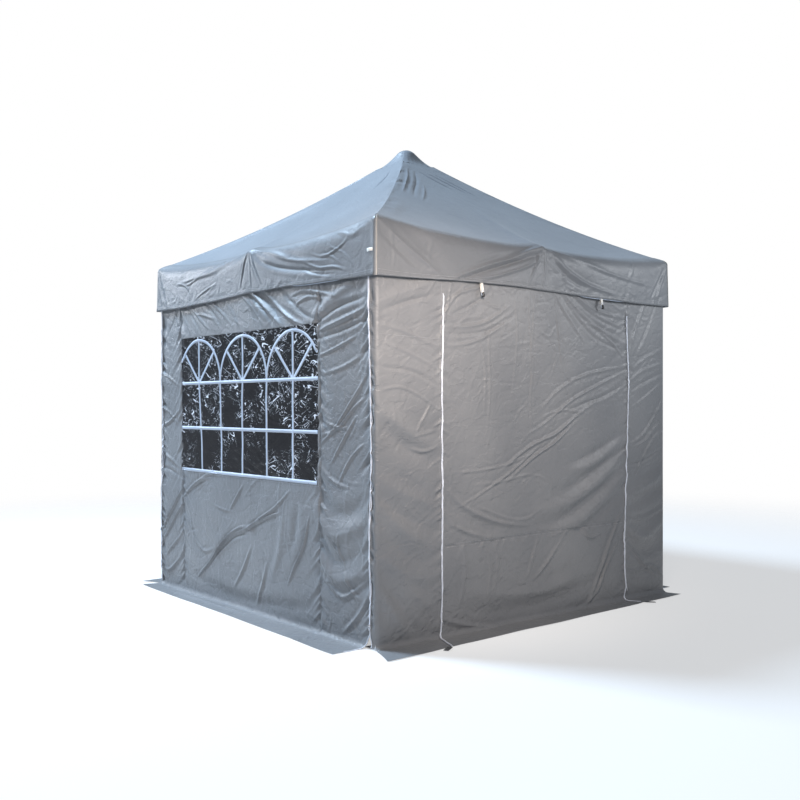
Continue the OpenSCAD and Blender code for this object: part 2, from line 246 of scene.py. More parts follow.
def add_fold(depth, s, z, path, height, width, crisp=0.75):
    """Adds a ridge, or a valley where height is negative, that fades out at its ends."""
    line = smooth_line(path)
    reach = 3.4 * width
    (s0, z0), (s1, z1) = line.min(0) - reach, line.max(0) + reach
    near = (s > s0) & (s < s1) & (z > z0) & (z < z1)
    if not near.any():
        return
    ps, pz = s[near], z[near]
    gap = np.full(ps.shape, np.inf)
    share = np.zeros(ps.shape)
    steps = np.hypot(*np.diff(line, axis=0).T)
    run = 0.0
    for a, b, step in zip(line, line[1:], steps):
        d = b - a
        t = np.clip(((ps - a[0]) * d[0] + (pz - a[1]) * d[1]) / step**2, 0, 1)
        here = np.hypot(ps - a[0] - t * d[0], pz - a[1] - t * d[1])
        closer = here < gap
        gap = np.where(closer, here, gap)
        share = np.where(closer, (run + t * step) / steps.sum(), share)
        run += step
    taper = np.sin(np.pi * np.clip(share, 0, 1)) ** 0.7
    x = gap / width
    soft = np.exp(-x * x)
    sharp = np.exp(-1.7 * (np.sqrt(x * x + 0.04) - 0.2))
    crest = soft * (1 - crisp) + sharp * crisp
    depth[near] += height * taper * (crest - 0.3 * np.exp(-((x - 1.9) ** 2)))


def scatter(depth, s, z, seed, count, box, angle, spread, length, height, width):
    """Small folds strewn over a box, mostly in one direction (degrees above the s axis)."""
    rng = np.random.default_rng(seed)
    for _ in range(count):
        middle = np.array([rng.uniform(box[0], box[1]), rng.uniform(box[2], box[3])])
        turn = math.radians(rng.normal(angle, spread))
        way = np.array([math.cos(turn), math.sin(turn)])
        half = way * length * rng.uniform(0.25, 0.65)
        bow = np.array([-way[1], way[0]]) * length * rng.normal(0, 0.09)
        path = [middle - half, middle + bow, middle + half]
        add_fold(depth, s, z, path, height * rng.uniform(-0.7, 1.0), width * rng.uniform(0.6, 1.5))


def puckers(along, across, seed, height, pitch=0.035, reach=0.06, slant=0.5):
    """Short ridges that run away from a stitched line on both sides of it."""
    side = np.where(across > 0, 11.3, 0.0)
    run = (along + slant * np.abs(across)) / pitch
    strength = np.exp(-np.abs(across) / reach) * ease(np.abs(across), 0.0, 0.012)
    crest = 0.55 - 1.6 * np.abs(noise(run, side + across / 0.25, seed))
    return height * crest * strength


def billow(s, z, seed, height, size=0.6):
    """Slow swells of a cloth that isn't pulled quite flat."""
    swell = noise(s / size, z / size, seed) + 0.5 * noise(s / size * 2.1, z / size * 2.1, seed + 1)
    return height * swell


# Folds of the front wall and door: height, width, then the points (s, z) it runs through
FRONT_FOLDS = (
    # strip beside the near corner
    (0.010, 0.030, (-1.24, 1.80), (-1.02, 1.88), (-0.80, 1.95)),
    (-0.007, 0.022, (-1.22, 1.76), (-1.00, 1.83), (-0.80, 1.88)),
    (0.006, 0.020, (-1.24, 1.69), (-1.05, 1.66), (-0.80, 1.58)),
    (0.005, 0.018, (-1.20, 1.60), (-1.00, 1.54), (-0.80, 1.46)),
    (-0.006, 0.020, (-1.22, 1.47), (-1.00, 1.45), (-0.80, 1.37)),
    (0.006, 0.014, (-1.24, 1.34), (-1.10, 1.365), (-0.97, 1.33), (-0.80, 1.24)),
    (0.014, 0.040, (-1.27, 1.29), (-1.10, 1.17), (-0.95, 1.08), (-0.78, 1.01)),
    (-0.014, 0.050, (-1.27, 1.20), (-1.08, 1.07), (-0.92, 1.00), (-0.78, 0.93)),
    (0.008, 0.016, (-0.86, 1.29), (-0.92, 1.20), (-0.98, 1.12)),
    (0.007, 0.016, (-0.80, 1.14), (-0.90, 1.12), (-1.01, 1.10)),
    (0.008, 0.018, (-0.82, 1.05), (-0.92, 1.02), (-1.04, 1.05)),
    (0.013, 0.034, (-1.26, 0.90), (-1.05, 0.80), (-0.80, 0.70)),
    (-0.010, 0.030, (-1.26, 0.82), (-1.05, 0.68), (-0.80, 0.58)),
    (0.012, 0.034, (-1.22, 0.76), (-1.02, 0.58), (-0.80, 0.50)),
    (-0.010, 0.034, (-1.20, 0.60), (-1.00, 0.46), (-0.80, 0.42)),
    (0.010, 0.030, (-1.24, 0.50), (-1.02, 0.36), (-0.80, 0.34)),
    (0.010, 0.034, (-1.26, 0.38), (-1.14, 0.20), (-1.02, 0.00)),
    (-0.008, 0.030, (-1.20, 0.36), (-1.08, 0.22), (-0.96, 0.04)),
    (0.009, 0.030, (-1.10, 0.38), (-0.96, 0.24), (-0.82, 0.16)),
    # upper left of the door
    (0.009, 0.020, (-0.79, 1.70), (-0.60, 1.71), (-0.44, 1.75), (-0.24, 1.86)),
    (-0.007, 0.020, (-0.79, 1.66), (-0.58, 1.67), (-0.40, 1.71), (-0.20, 1.81)),
    (0.007, 0.018, (-0.79, 1.59), (-0.62, 1.61), (-0.46, 1.66), (-0.28, 1.76)),
    (0.008, 0.016, (-0.79, 1.74), (-0.72, 1.84), (-0.60, 1.95)),
    (0.007, 0.014, (-0.79, 1.68), (-0.75, 1.80), (-0.72, 1.95)),
    (0.008, 0.016, (-0.79, 1.82), (-0.66, 1.89), (-0.46, 1.95)),
    (-0.006, 0.016, (-0.74, 1.76), (-0.60, 1.82), (-0.40, 1.92)),
    (0.006, 0.014, (-0.52, 1.88), (-0.42, 1.84), (-0.30, 1.82)),
    # upright creases of the rolled door, fanning from the hem
    (0.006, 0.014, (-0.10, 1.98), (-0.09, 1.74), (-0.06, 1.52), (-0.08, 1.28), (-0.05, 1.02)),
    (0.005, 0.012, (-0.05, 1.97), (-0.06, 1.74), (-0.08, 1.55), (-0.04, 1.22)),
    (0.006, 0.014, (0.12, 1.97), (0.16, 1.72), (0.19, 1.56), (0.23, 1.38)),
    (0.005, 0.013, (-0.40, 1.80), (-0.43, 1.62), (-0.42, 1.38), (-0.44, 1.12)),
    (0.005, 0.013, (-0.50, 1.66), (-0.46, 1.46), (-0.47, 1.22)),
    (0.004, 0.014, (-0.22, 1.95), (-0.20, 1.66), (-0.24, 1.30)),
    (0.006, 0.018, (0.10, 1.98), (0.24, 1.82), (0.42, 1.66)),
    (-0.007, 0.020, (0.14, 1.98), (0.30, 1.84), (0.52, 1.70), (0.80, 1.62)),
    (0.009, 0.020, (0.18, 1.98), (0.38, 1.84), (0.60, 1.74), (0.82, 1.67)),
    (-0.007, 0.018, (0.22, 1.98), (0.45, 1.86), (0.66, 1.79), (0.82, 1.75)),
    (0.008, 0.018, (0.30, 1.96), (0.50, 1.88), (0.68, 1.85), (0.82, 1.84)),
    (0.006, 0.014, (0.36, 1.80), (0.56, 1.76), (0.76, 1.70)),
    (0.007, 0.014, (0.56, 1.74), (0.68, 1.68), (0.80, 1.58)),
    # long diagonals
    (0.009, 0.018, (-0.02, 1.22), (0.18, 1.37), (0.42, 1.46), (0.84, 1.53)),
    (0.010, 0.016, (-0.14, 1.08), (0.06, 1.17), (0.28, 1.30), (0.55, 1.40), (0.84, 1.50)),
    (-0.009, 0.022, (0.20, 1.22), (0.40, 1.28), (0.60, 1.33), (0.84, 1.42)),
    (0.012, 0.018, (-0.36, 0.88), (-0.10, 1.02), (0.14, 1.10), (0.32, 1.20), (0.52, 1.30)),
    (0.012, 0.016, (-0.30, 0.82), (-0.06, 0.96), (0.14, 1.05), (0.34, 1.18)),
    (0.008, 0.014, (-0.74, 0.68), (-0.48, 0.78), (-0.22, 0.90), (0.02, 1.04)),
    (0.007, 0.014, (-0.74, 0.90), (-0.52, 0.90), (-0.28, 0.93), (-0.04, 0.99)),
    (0.006, 0.014, (-0.58, 0.82), (-0.34, 0.83), (-0.08, 0.86), (0.12, 0.80)),
    (0.007, 0.014, (0.02, 1.20), (0.20, 1.24), (0.44, 1.22)),
    # swags between the zips
    (-0.013, 0.030, (0.26, 0.92), (0.52, 0.98), (0.84, 1.12)),
    (0.012, 0.028, (0.18, 0.86), (0.46, 0.90), (0.84, 1.06)),
    (-0.014, 0.034, (0.04, 0.74), (0.34, 0.78), (0.60, 0.90), (0.84, 1.02)),
    (0.016, 0.034, (-0.08, 0.64), (0.20, 0.66), (0.48, 0.76), (0.70, 0.88), (0.86, 0.98)),
    (-0.016, 0.036, (-0.16, 0.55), (0.14, 0.56), (0.42, 0.66), (0.64, 0.78), (0.86, 0.92)),
    (0.014, 0.030, (0.10, 0.50), (0.38, 0.56), (0.62, 0.68), (0.86, 0.84)),
    (-0.012, 0.030, (0.30, 0.47), (0.56, 0.56), (0.86, 0.74)),
    (0.010, 0.026, (-0.80, 0.84), (-0.62, 0.70), (-0.36, 0.60), (-0.06, 0.56)),
    (-0.010, 0.030, (-0.80, 0.76), (-0.60, 0.63), (-0.34, 0.54), (-0.10, 0.52)),
    (0.008, 0.022, (-0.78, 0.64), (-0.60, 0.56), (-0.40, 0.51)),
    (0.008, 0.018, (-0.52, 0.70), (-0.30, 0.62), (-0.12, 0.60), (0.02, 0.66)),
    # below the seam of the door
    (0.008, 0.024, (-0.64, 0.52), (-0.62, 0.34), (-0.66, 0.14)),
    (0.006, 0.020, (-0.48, 0.51), (-0.42, 0.36), (-0.44, 0.18)),
    (0.006, 0.020, (-0.40, 0.51), (-0.36, 0.38), (-0.38, 0.22)),
    (0.008, 0.020, (0.00, 0.50), (-0.06, 0.38), (-0.12, 0.24)),
    (0.010, 0.024, (0.24, 0.51), (0.14, 0.40), (0.00, 0.28), (-0.10, 0.22)),
    (0.010, 0.020, (0.40, 0.51), (0.46, 0.44), (0.58, 0.46)),
    (0.014, 0.022, (0.82, 0.64), (0.68, 0.42), (0.56, 0.20), (0.42, -0.02)),
    (0.012, 0.020, (0.78, 0.42), (0.66, 0.28), (0.54, 0.10), (0.38, 0.00)),
    (-0.012, 0.040, (-0.72, 0.16), (-0.40, 0.09), (0.00, 0.08), (0.40, 0.14), (0.76, 0.26)),
    (0.010, 0.030, (-0.60, 0.24), (-0.30, 0.18), (0.06, 0.17), (0.40, 0.24)),
    (0.010, 0.026, (-0.79, 0.10), (-0.60, 0.04), (-0.40, 0.00)),
    # strip beside the far corner
    (0.008, 0.024, (0.86, 1.62), (0.94, 1.80), (1.04, 1.98)),
    (-0.007, 0.022, (0.90, 1.58), (1.02, 1.74), (1.14, 1.96)),
    (0.007, 0.022, (0.88, 1.50), (1.02, 1.58), (1.24, 1.66)),
    (0.009, 0.020, (0.84, 1.42), (1.00, 1.50), (1.24, 1.56)),
    (-0.008, 0.024, (0.84, 1.36), (1.00, 1.42), (1.24, 1.50)),
    (0.007, 0.018, (0.84, 1.24), (1.02, 1.32), (1.24, 1.44)),
    (0.010, 0.018, (0.84, 1.01), (0.98, 1.06), (1.12, 1.18), (1.26, 1.36)),
    (0.009, 0.016, (0.86, 0.99), (1.02, 1.03), (1.14, 1.12), (1.26, 1.20)),
    (0.009, 0.016, (0.92, 0.80), (1.02, 0.94), (1.14, 1.06), (1.26, 1.12)),
    (-0.010, 0.026, (0.84, 0.88), (1.00, 0.90), (1.24, 0.98)),
    (0.018, 0.036, (0.82, 0.68), (0.96, 0.72), (1.10, 0.76), (1.26, 0.84)),
    (-0.014, 0.034, (0.82, 0.60), (1.00, 0.64), (1.26, 0.72)),
    (0.010, 0.026, (0.82, 0.53), (1.00, 0.52), (1.26, 0.58)),
    (0.016, 0.036, (0.82, 0.52), (0.92, 0.43), (1.04, 0.40), (1.26, 0.50)),
    (-0.012, 0.034, (0.82, 0.42), (0.94, 0.32), (1.08, 0.30), (1.26, 0.36)),
    (0.010, 0.022, (0.83, 0.40), (0.98, 0.24), (1.16, 0.12)),
    (0.009, 0.022, (0.80, 0.20), (0.94, 0.18), (1.10, 0.20), (1.24, 0.10)),
)

LEFT_FOLDS = (
    # above the window
    (0.008, 0.018, (1.06, 1.98), (0.98, 1.86), (0.92, 1.74)),
    (0.008, 0.016, (0.96, 1.96), (0.86, 1.86), (0.76, 1.74)),
    (-0.008, 0.020, (0.88, 1.96), (0.74, 1.86), (0.62, 1.74)),
    (0.009, 0.016, (0.80, 1.96), (0.66, 1.86), (0.50, 1.76)),
    (0.007, 0.014, (0.70, 1.88), (0.60, 1.87), (0.44, 1.83)),
    (-0.008, 0.020, (0.62, 1.97), (0.46, 1.87), (0.34, 1.76)),
    (0.009, 0.018, (0.50, 1.96), (0.34, 1.86), (0.20, 1.76)),
    (0.008, 0.016, (0.30, 1.94), (0.20, 1.84), (0.12, 1.74)),
    (0.009, 0.018, (0.12, 1.98), (-0.04, 1.86), (-0.16, 1.74)),
    (-0.014, 0.026, (0.06, 1.98), (-0.12, 1.87), (-0.28, 1.74)),
    (0.014, 0.020, (0.00, 1.98), (-0.20, 1.85), (-0.36, 1.73)),
    (-0.016, 0.028, (-0.08, 1.98), (-0.28, 1.84), (-0.46, 1.72)),
    (0.016, 0.024, (-0.16, 1.97), (-0.34, 1.84), (-0.52, 1.75), (-0.64, 1.72)),
    (-0.010, 0.026, (-0.34, 1.96), (-0.48, 1.86), (-0.62, 1.78), (-0.76, 1.74)),
    (0.010, 0.016, (-0.46, 1.90), (-0.60, 1.92), (-0.78, 1.89), (-0.92, 1.86)),
    (0.008, 0.014, (-0.50, 1.84), (-0.64, 1.88), (-0.80, 1.86)),
    # beside the window, up to the near corner
    (0.012, 0.030, (-0.66, 1.74), (-0.84, 1.84), (-1.10, 1.94)),
    (-0.012, 0.026, (-0.70, 1.72), (-0.90, 1.80), (-1.18, 1.84)),
    (0.014, 0.022, (-0.72, 1.68), (-0.92, 1.72), (-1.18, 1.78)),
    (-0.010, 0.022, (-0.72, 1.64), (-0.94, 1.67), (-1.18, 1.72)),
    (0.010, 0.012, (-0.73, 1.54), (-0.90, 1.58), (-1.10, 1.64)),
    (0.006, 0.018, (-0.74, 1.44), (-0.94, 1.47), (-1.16, 1.54)),
    (0.009, 0.014, (-0.73, 1.04), (-0.88, 1.14), (-1.02, 1.28), (-1.18, 1.44)),
    (0.009, 0.014, (-0.76, 1.10), (-0.92, 1.15), (-1.06, 1.26), (-1.18, 1.32)),
    (0.009, 0.013, (-0.74, 1.20), (-0.86, 1.16), (-1.00, 1.14)),
    (0.008, 0.014, (-0.84, 0.94), (-0.96, 1.08), (-1.08, 1.22)),
    (0.007, 0.014, (-0.90, 0.82), (-1.02, 0.98), (-1.16, 1.08)),
    (0.008, 0.018, (-0.74, 0.94), (-0.86, 0.86), (-1.02, 0.82)),
    (-0.014, 0.040, (-0.74, 0.80), (-0.92, 0.68), (-1.18, 0.76)),
    (0.013, 0.036, (-0.74, 0.66), (-0.90, 0.56), (-1.18, 0.66)),
    (0.010, 0.014, (-0.78, 0.62), (-0.85, 0.54), (-0.93, 0.46)),
    (0.009, 0.014, (-0.94, 0.58), (-0.92, 0.50), (-0.98, 0.40)),
    (-0.012, 0.036, (-0.74, 0.54), (-0.92, 0.42), (-1.18, 0.52)),
    (0.013, 0.030, (-0.74, 0.44), (-0.92, 0.32), (-1.18, 0.40)),
    (0.010, 0.022, (-0.76, 0.34), (-0.94, 0.24), (-1.06, 0.28), (-1.18, 0.36)),
    (0.009, 0.020, (-0.98, 0.38), (-1.04, 0.28), (-1.12, 0.24)),
    (0.010, 0.024, (-0.96, 0.04), (-1.08, 0.14), (-1.18, 0.26)),
    # below the window
    (0.016, 0.013, (0.70, 0.12), (0.52, 0.24), (0.36, 0.38), (0.20, 0.48), (0.04, 0.53)),
    (0.012, 0.013, (0.22, 0.46), (0.04, 0.51), (-0.10, 0.58), (-0.28, 0.66), (-0.46, 0.78)),
    (0.011, 0.013, (0.12, 0.50), (-0.06, 0.55), (-0.20, 0.60), (-0.36, 0.64)),
    (-0.012, 0.022, (0.56, 0.20), (0.38, 0.34), (0.20, 0.44), (0.02, 0.48)),
    (0.011, 0.013, (-0.66, 0.66), (-0.60, 0.48), (-0.50, 0.34), (-0.42, 0.22)),
    (0.007, 0.016, (0.26, 0.60), (0.18, 0.68), (0.08, 0.78)),
    (0.006, 0.012, (0.46, 0.62), (0.30, 0.60), (0.18, 0.60)),
    (0.008, 0.018, (0.80, 0.56), (0.74, 0.40), (0.60, 0.31), (0.44, 0.34)),
    (0.009, 0.018, (0.48, 0.80), (0.66, 0.77), (0.82, 0.69), (0.92, 0.62)),
    (0.007, 0.016, (0.40, 0.83), (0.56, 0.81), (0.72, 0.74)),
    (0.008, 0.024, (-0.02, 0.42), (0.08, 0.26), (0.20, 0.12)),
    (0.007, 0.026, (-0.20, 0.34), (-0.14, 0.18), (-0.06, 0.04)),
    (0.008, 0.030, (-0.38, 0.62), (-0.34, 0.42), (-0.24, 0.22)),
    (-0.008, 0.030, (-0.54, 0.74), (-0.50, 0.52), (-0.42, 0.40)),
    (-0.010, 0.040, (0.86, 0.18), (0.50, 0.08), (0.10, 0.06), (-0.40, 0.09), (-0.80, 0.16)),
    # strip at the far corner
    (0.012, 0.014, (1.26, 0.33), (1.12, 0.48), (1.00, 0.60), (0.88, 0.72)),
    (0.011, 0.014, (1.22, 0.28), (1.06, 0.44), (0.96, 0.54), (0.86, 0.62)),
    (0.007, 0.014, (1.16, 0.20), (1.06, 0.28), (0.92, 0.38)),
    (0.008, 0.022, (1.24, 0.94), (1.08, 0.90), (0.94, 0.84)),
    (-0.007, 0.022, (1.24, 0.84), (1.08, 0.82), (0.92, 0.78)),
    (0.008, 0.018, (1.24, 1.12), (1.10, 1.16), (0.94, 1.24)),
    (0.006, 0.018, (1.24, 1.26), (1.10, 1.22), (0.94, 1.12)),
    (0.006, 0.018, (1.22, 1.50), (1.08, 1.46), (0.94, 1.40)),
    (0.008, 0.020, (1.24, 0.14), (1.10, 0.12), (0.94, 0.22)),
)

# Folds of the canopy: z runs up the valance and then, past the eave, along the roof's slope
FRONT_CANOPY_FOLDS = (
    (0.013, 0.026, (-1.26, 2.24), (-1.08, 2.12), (-0.92, 2.03), (-0.76, 1.94)),
    (-0.010, 0.024, (-1.24, 2.17), (-1.08, 2.06), (-0.94, 1.97)),
    (-0.013, 0.034, (-1.10, 2.20), (-0.90, 2.10), (-0.74, 1.99)),
    (0.015, 0.020, (0.05, 2.23), (-0.16, 2.15), (-0.44, 2.07), (-0.66, 1.99), (-0.76, 1.94)),
    (-0.020, 0.022, (0.02, 2.18), (-0.20, 2.11), (-0.46, 2.03), (-0.70, 1.95)),
    (0.013, 0.018, (0.00, 2.14), (-0.18, 2.07), (-0.38, 2.01), (-0.58, 1.95)),
    (0.008, 0.014, (0.00, 2.22), (-0.05, 2.10), (-0.12, 1.98)),
    (0.007, 0.013, (0.03, 2.22), (0.03, 2.10), (0.01, 1.98)),
    (0.009, 0.022, (0.04, 2.22), (0.22, 2.10), (0.44, 2.02), (0.70, 1.98)),
    (-0.008, 0.024, (0.06, 2.17), (0.24, 2.05), (0.44, 1.98)),
    (0.006, 0.020, (0.10, 2.22), (0.40, 2.15), (0.74, 2.10), (1.10, 2.06)),
    (0.010, 0.016, (1.25, 2.20), (1.17, 2.08), (1.12, 1.95)),
    (-0.007, 0.016, (1.22, 2.20), (1.12, 2.06), (1.04, 1.96)),
    (0.005, 0.012, (-1.16, 2.18), (-1.14, 2.06), (-1.15, 1.96)),
    (0.008, 0.011, (-0.97, 2.06), (-0.90, 2.02), (-0.86, 1.96)),
    (0.007, 0.012, (-0.60, 2.00), (-0.50, 1.99), (-0.40, 2.01)),
    # gathers below the cap and along the near hip
    (0.006, 0.012, (-0.10, 3.45), (-0.04, 3.34), (0.06, 3.20)),
    (0.006, 0.012, (-0.03, 3.46), (0.06, 3.33), (0.17, 3.18)),
    (0.005, 0.012, (0.04, 3.46), (0.12, 3.34), (0.24, 3.16)),
    (0.008, 0.020, (-0.17, 3.46), (-0.30, 3.28), (-0.44, 3.11), (-0.58, 2.94)),
    (-0.008, 0.026, (-0.13, 3.42), (-0.25, 3.24), (-0.38, 3.08), (-0.52, 2.90)),
    (0.006, 0.020, (-0.22, 3.20), (-0.34, 3.03), (-0.48, 2.86)),
    (0.005, 0.030, (-0.70, 2.78), (-0.90, 2.56), (-1.06, 2.38)),
)
LEFT_CANOPY_FOLDS = (
    (-0.012, 0.026, (0.00, 2.20), (-0.22, 2.11), (-0.50, 2.05), (-0.92, 2.00)),
    (0.011, 0.024, (0.02, 2.24), (-0.24, 2.17), (-0.52, 2.10), (-0.86, 2.06)),
    (0.011, 0.012, (-0.62, 2.08), (-0.76, 2.03), (-0.90, 2.02), (-1.02, 1.99)),
    (-0.009, 0.013, (-0.58, 2.05), (-0.74, 2.00), (-0.92, 1.98)),
    (0.009, 0.011, (-0.68, 2.12), (-0.80, 2.09), (-0.92, 2.11), (-1.04, 2.16)),
    (0.008, 0.011, (-0.78, 2.10), (-0.88, 2.08), (-0.98, 2.02)),
    (0.007, 0.012, (-0.84, 2.14), (-0.98, 2.09), (-1.08, 2.00)),
    (0.006, 0.014, (-0.90, 2.20), (-1.06, 2.16), (-1.18, 2.20)),
    (0.008, 0.013, (0.01, 2.22), (0.06, 2.12), (0.10, 1.99)),
    (0.008, 0.013, (-0.02, 2.21), (-0.08, 2.10), (-0.16, 1.99)),
    (0.006, 0.013, (-0.01, 2.20), (-0.02, 2.10), (-0.03, 1.98)),
    (0.006, 0.020, (0.06, 2.22), (0.40, 2.14), (0.72, 2.12), (0.98, 2.10)),
    (0.008, 0.011, (0.94, 2.11), (0.82, 2.08), (0.74, 2.02)),
    (0.007, 0.011, (0.86, 2.10), (0.78, 2.09), (0.64, 2.12)),
    (0.006, 0.012, (0.68, 1.98), (0.56, 2.02), (0.40, 2.06)),
    (0.010, 0.014, (1.26, 2.24), (1.18, 2.10), (1.08, 1.95)),
    (0.009, 0.012, (1.27, 2.16), (1.22, 2.06), (1.16, 1.95)),
    (0.008, 0.030, (0.20, 3.30), (0.60, 2.90), (1.00, 2.50)),
    (0.006, 0.014, (-0.10, 3.44), (-0.20, 3.30), (-0.26, 3.12)),
)


WIDE_FOLD = 0.028  # folds at least this wide are soft swags, narrower ones are creases


def add_all(depth, s, z, folds, gain, soft_gain, narrow):
    """Adds the listed folds: creases sharp and narrowed, swags low and soft."""
    for height, width, *path in folds:
        if width < WIDE_FOLD:
            add_fold(depth, s, z, path, gain * height, narrow * width, 0.9)
        else:
            add_fold(depth, s, z, path, soft_gain * height, width, 0.25)


def strewn_folds(seed, count):
    """Long wandering folds for a wall that the front view doesn't show."""
    rng = np.random.default_rng(seed)
    folds = []
    for _ in range(count):
        s, z = rng.uniform(-1.15, 1.15), rng.uniform(0.1, 1.95)
        lean = math.radians(rng.choice([25, 40, -30, 75]) + rng.normal(0, 12))
        half = rng.uniform(0.12, 0.42)
        ds, dz = half * math.cos(lean), half * math.sin(lean)
        sway = rng.normal(0, 0.05)
        path = ((s - ds, z - dz), (s, z + sway), (s + ds, z + dz))
        folds.append((rng.choice([-1, 1]) * rng.uniform(0.006, 0.014), rng.uniform(0.014, 0.034)) + path)
    return folds


RIGHT_FOLDS = strewn_folds(31, 60)
REAR_FOLDS = strewn_folds(47, 80)
RIGHT_CANOPY_FOLDS = tuple((h, w) + tuple((-s, z) for s, z in path) for h, w, *path in LEFT_CANOPY_FOLDS)
REAR_CANOPY_FOLDS = tuple((h, w) + tuple((-s, z) for s, z in path) for h, w, *path in FRONT_CANOPY_FOLDS)

WALL_FOLDS = {"front": FRONT_FOLDS, "left": LEFT_FOLDS, "right": RIGHT_FOLDS, "rear": REAR_FOLDS}
CANOPY_FOLDS = {
    "front": FRONT_CANOPY_FOLDS,
    "left": LEFT_CANOPY_FOLDS,
    "right": RIGHT_CANOPY_FOLDS,
    "rear": REAR_CANOPY_FOLDS,
}
LEAN = {"front": 28, "left": 34, "right": 30, "rear": 24}  # usual lean of the small folds, in degrees
SEED = {"front": 100, "left": 200, "right": 300, "rear": 400}
SEAMS = {  # upright seams (s at the top, s at the ground) that pucker
    "front": (),
    "left": ((0.925, 0.870), (-0.745, -0.765)),
    "right": ((0.925, 0.900), (-0.745, -0.760)),
    "rear": ((-0.42, -0.43), (0.42, 0.41)),
}


# ---------------------------------------------------------------- the walls' surface


def zip_line(z, points):
    """Where a door zip runs at height z, from a few (z, s) points."""
    heights, places = zip(*points)
    return np.interp(z, heights, places)


LEFT_ZIP = (
    (-0.20, -0.860), (-0.03, -0.822), (0.04, -0.799), (0.10, -0.793),
    (0.25, -0.795), (0.6, -0.792), (1.2, -0.794), (1.88, -0.783),
)
RIGHT_ZIP = (
    (-0.16, 0.850), (-0.03, 0.792), (0.03, 0.798), (0.09, 0.815),
    (0.2, 0.804), (0.45, 0.812), (1.0, 0.828), (1.4, 0.842), (1.86, 0.829),
)


def warp(side, s, z):
    """Moves a wall's upright lines sideways: the door zips wander and the far corner leans in."""
    if side == "front":
        left = zip_line(z, LEFT_ZIP) + 0.003 * noise(z / 0.12, 0.0, 5) - DOOR[0]
        right = zip_line(z, RIGHT_ZIP) + 0.003 * noise(z / 0.12, 0.0, 6) - DOOR[1]
        s = s + left * np.exp(-(((s - DOOR[0]) / 0.16) ** 2))
        s = s + right * np.exp(-(((s - DOOR[1]) / 0.16) ** 2))
        lean = 0.022 * (1 - ease(z, 0.0, 2.0)) * ease(s, 1.0, 1.25)
        return s - lean
    if side in ("left", "right"):
        sway = 0.006 * noise(z / 0.16, 0.5, SEED[side]) + 0.006 * noise(z / 0.5, 1.5, SEED[side])
        near = np.exp(-(((np.abs(s) - CORNER_ZIP) / 0.05) ** 2)) * ease(np.abs(s), 1.0, 1.15)
        return s + sway * near * (1 - ease(np.abs(s), 1.21, 1.25))
    return s


SKIRT = {  # reach of the skirt beyond the wall at its low-s and high-s ends, then its spread in s
    "front": (0.200, 0.118, 1.068, 1.035),
    "left": (0.208, 0.120, 0.994, 1.035),
    "right": (0.190, 0.150, 0.994, 0.998),
    "rear": (0.160, 0.190, 1.060, 1.066),
}


def skirt_reach(side, s):
    low, high, _, _ = SKIRT[side]
    share = np.clip((s + HALF) / (2 * HALF), 0, 1)
    wander = 0.008 * noise(s / 0.35, 3.0, SEED[side] + 3)
    return low + (high - low) * share + wander


def skirt_length(side, s):
    """Length of cloth from the start of the bend to the skirt's edge."""
    return BEND * math.pi / 2 + skirt_reach(side, s) - BEND


def door_seam(s):
    """Height of the seam across the door."""
    return 0.507 + 0.012 * s


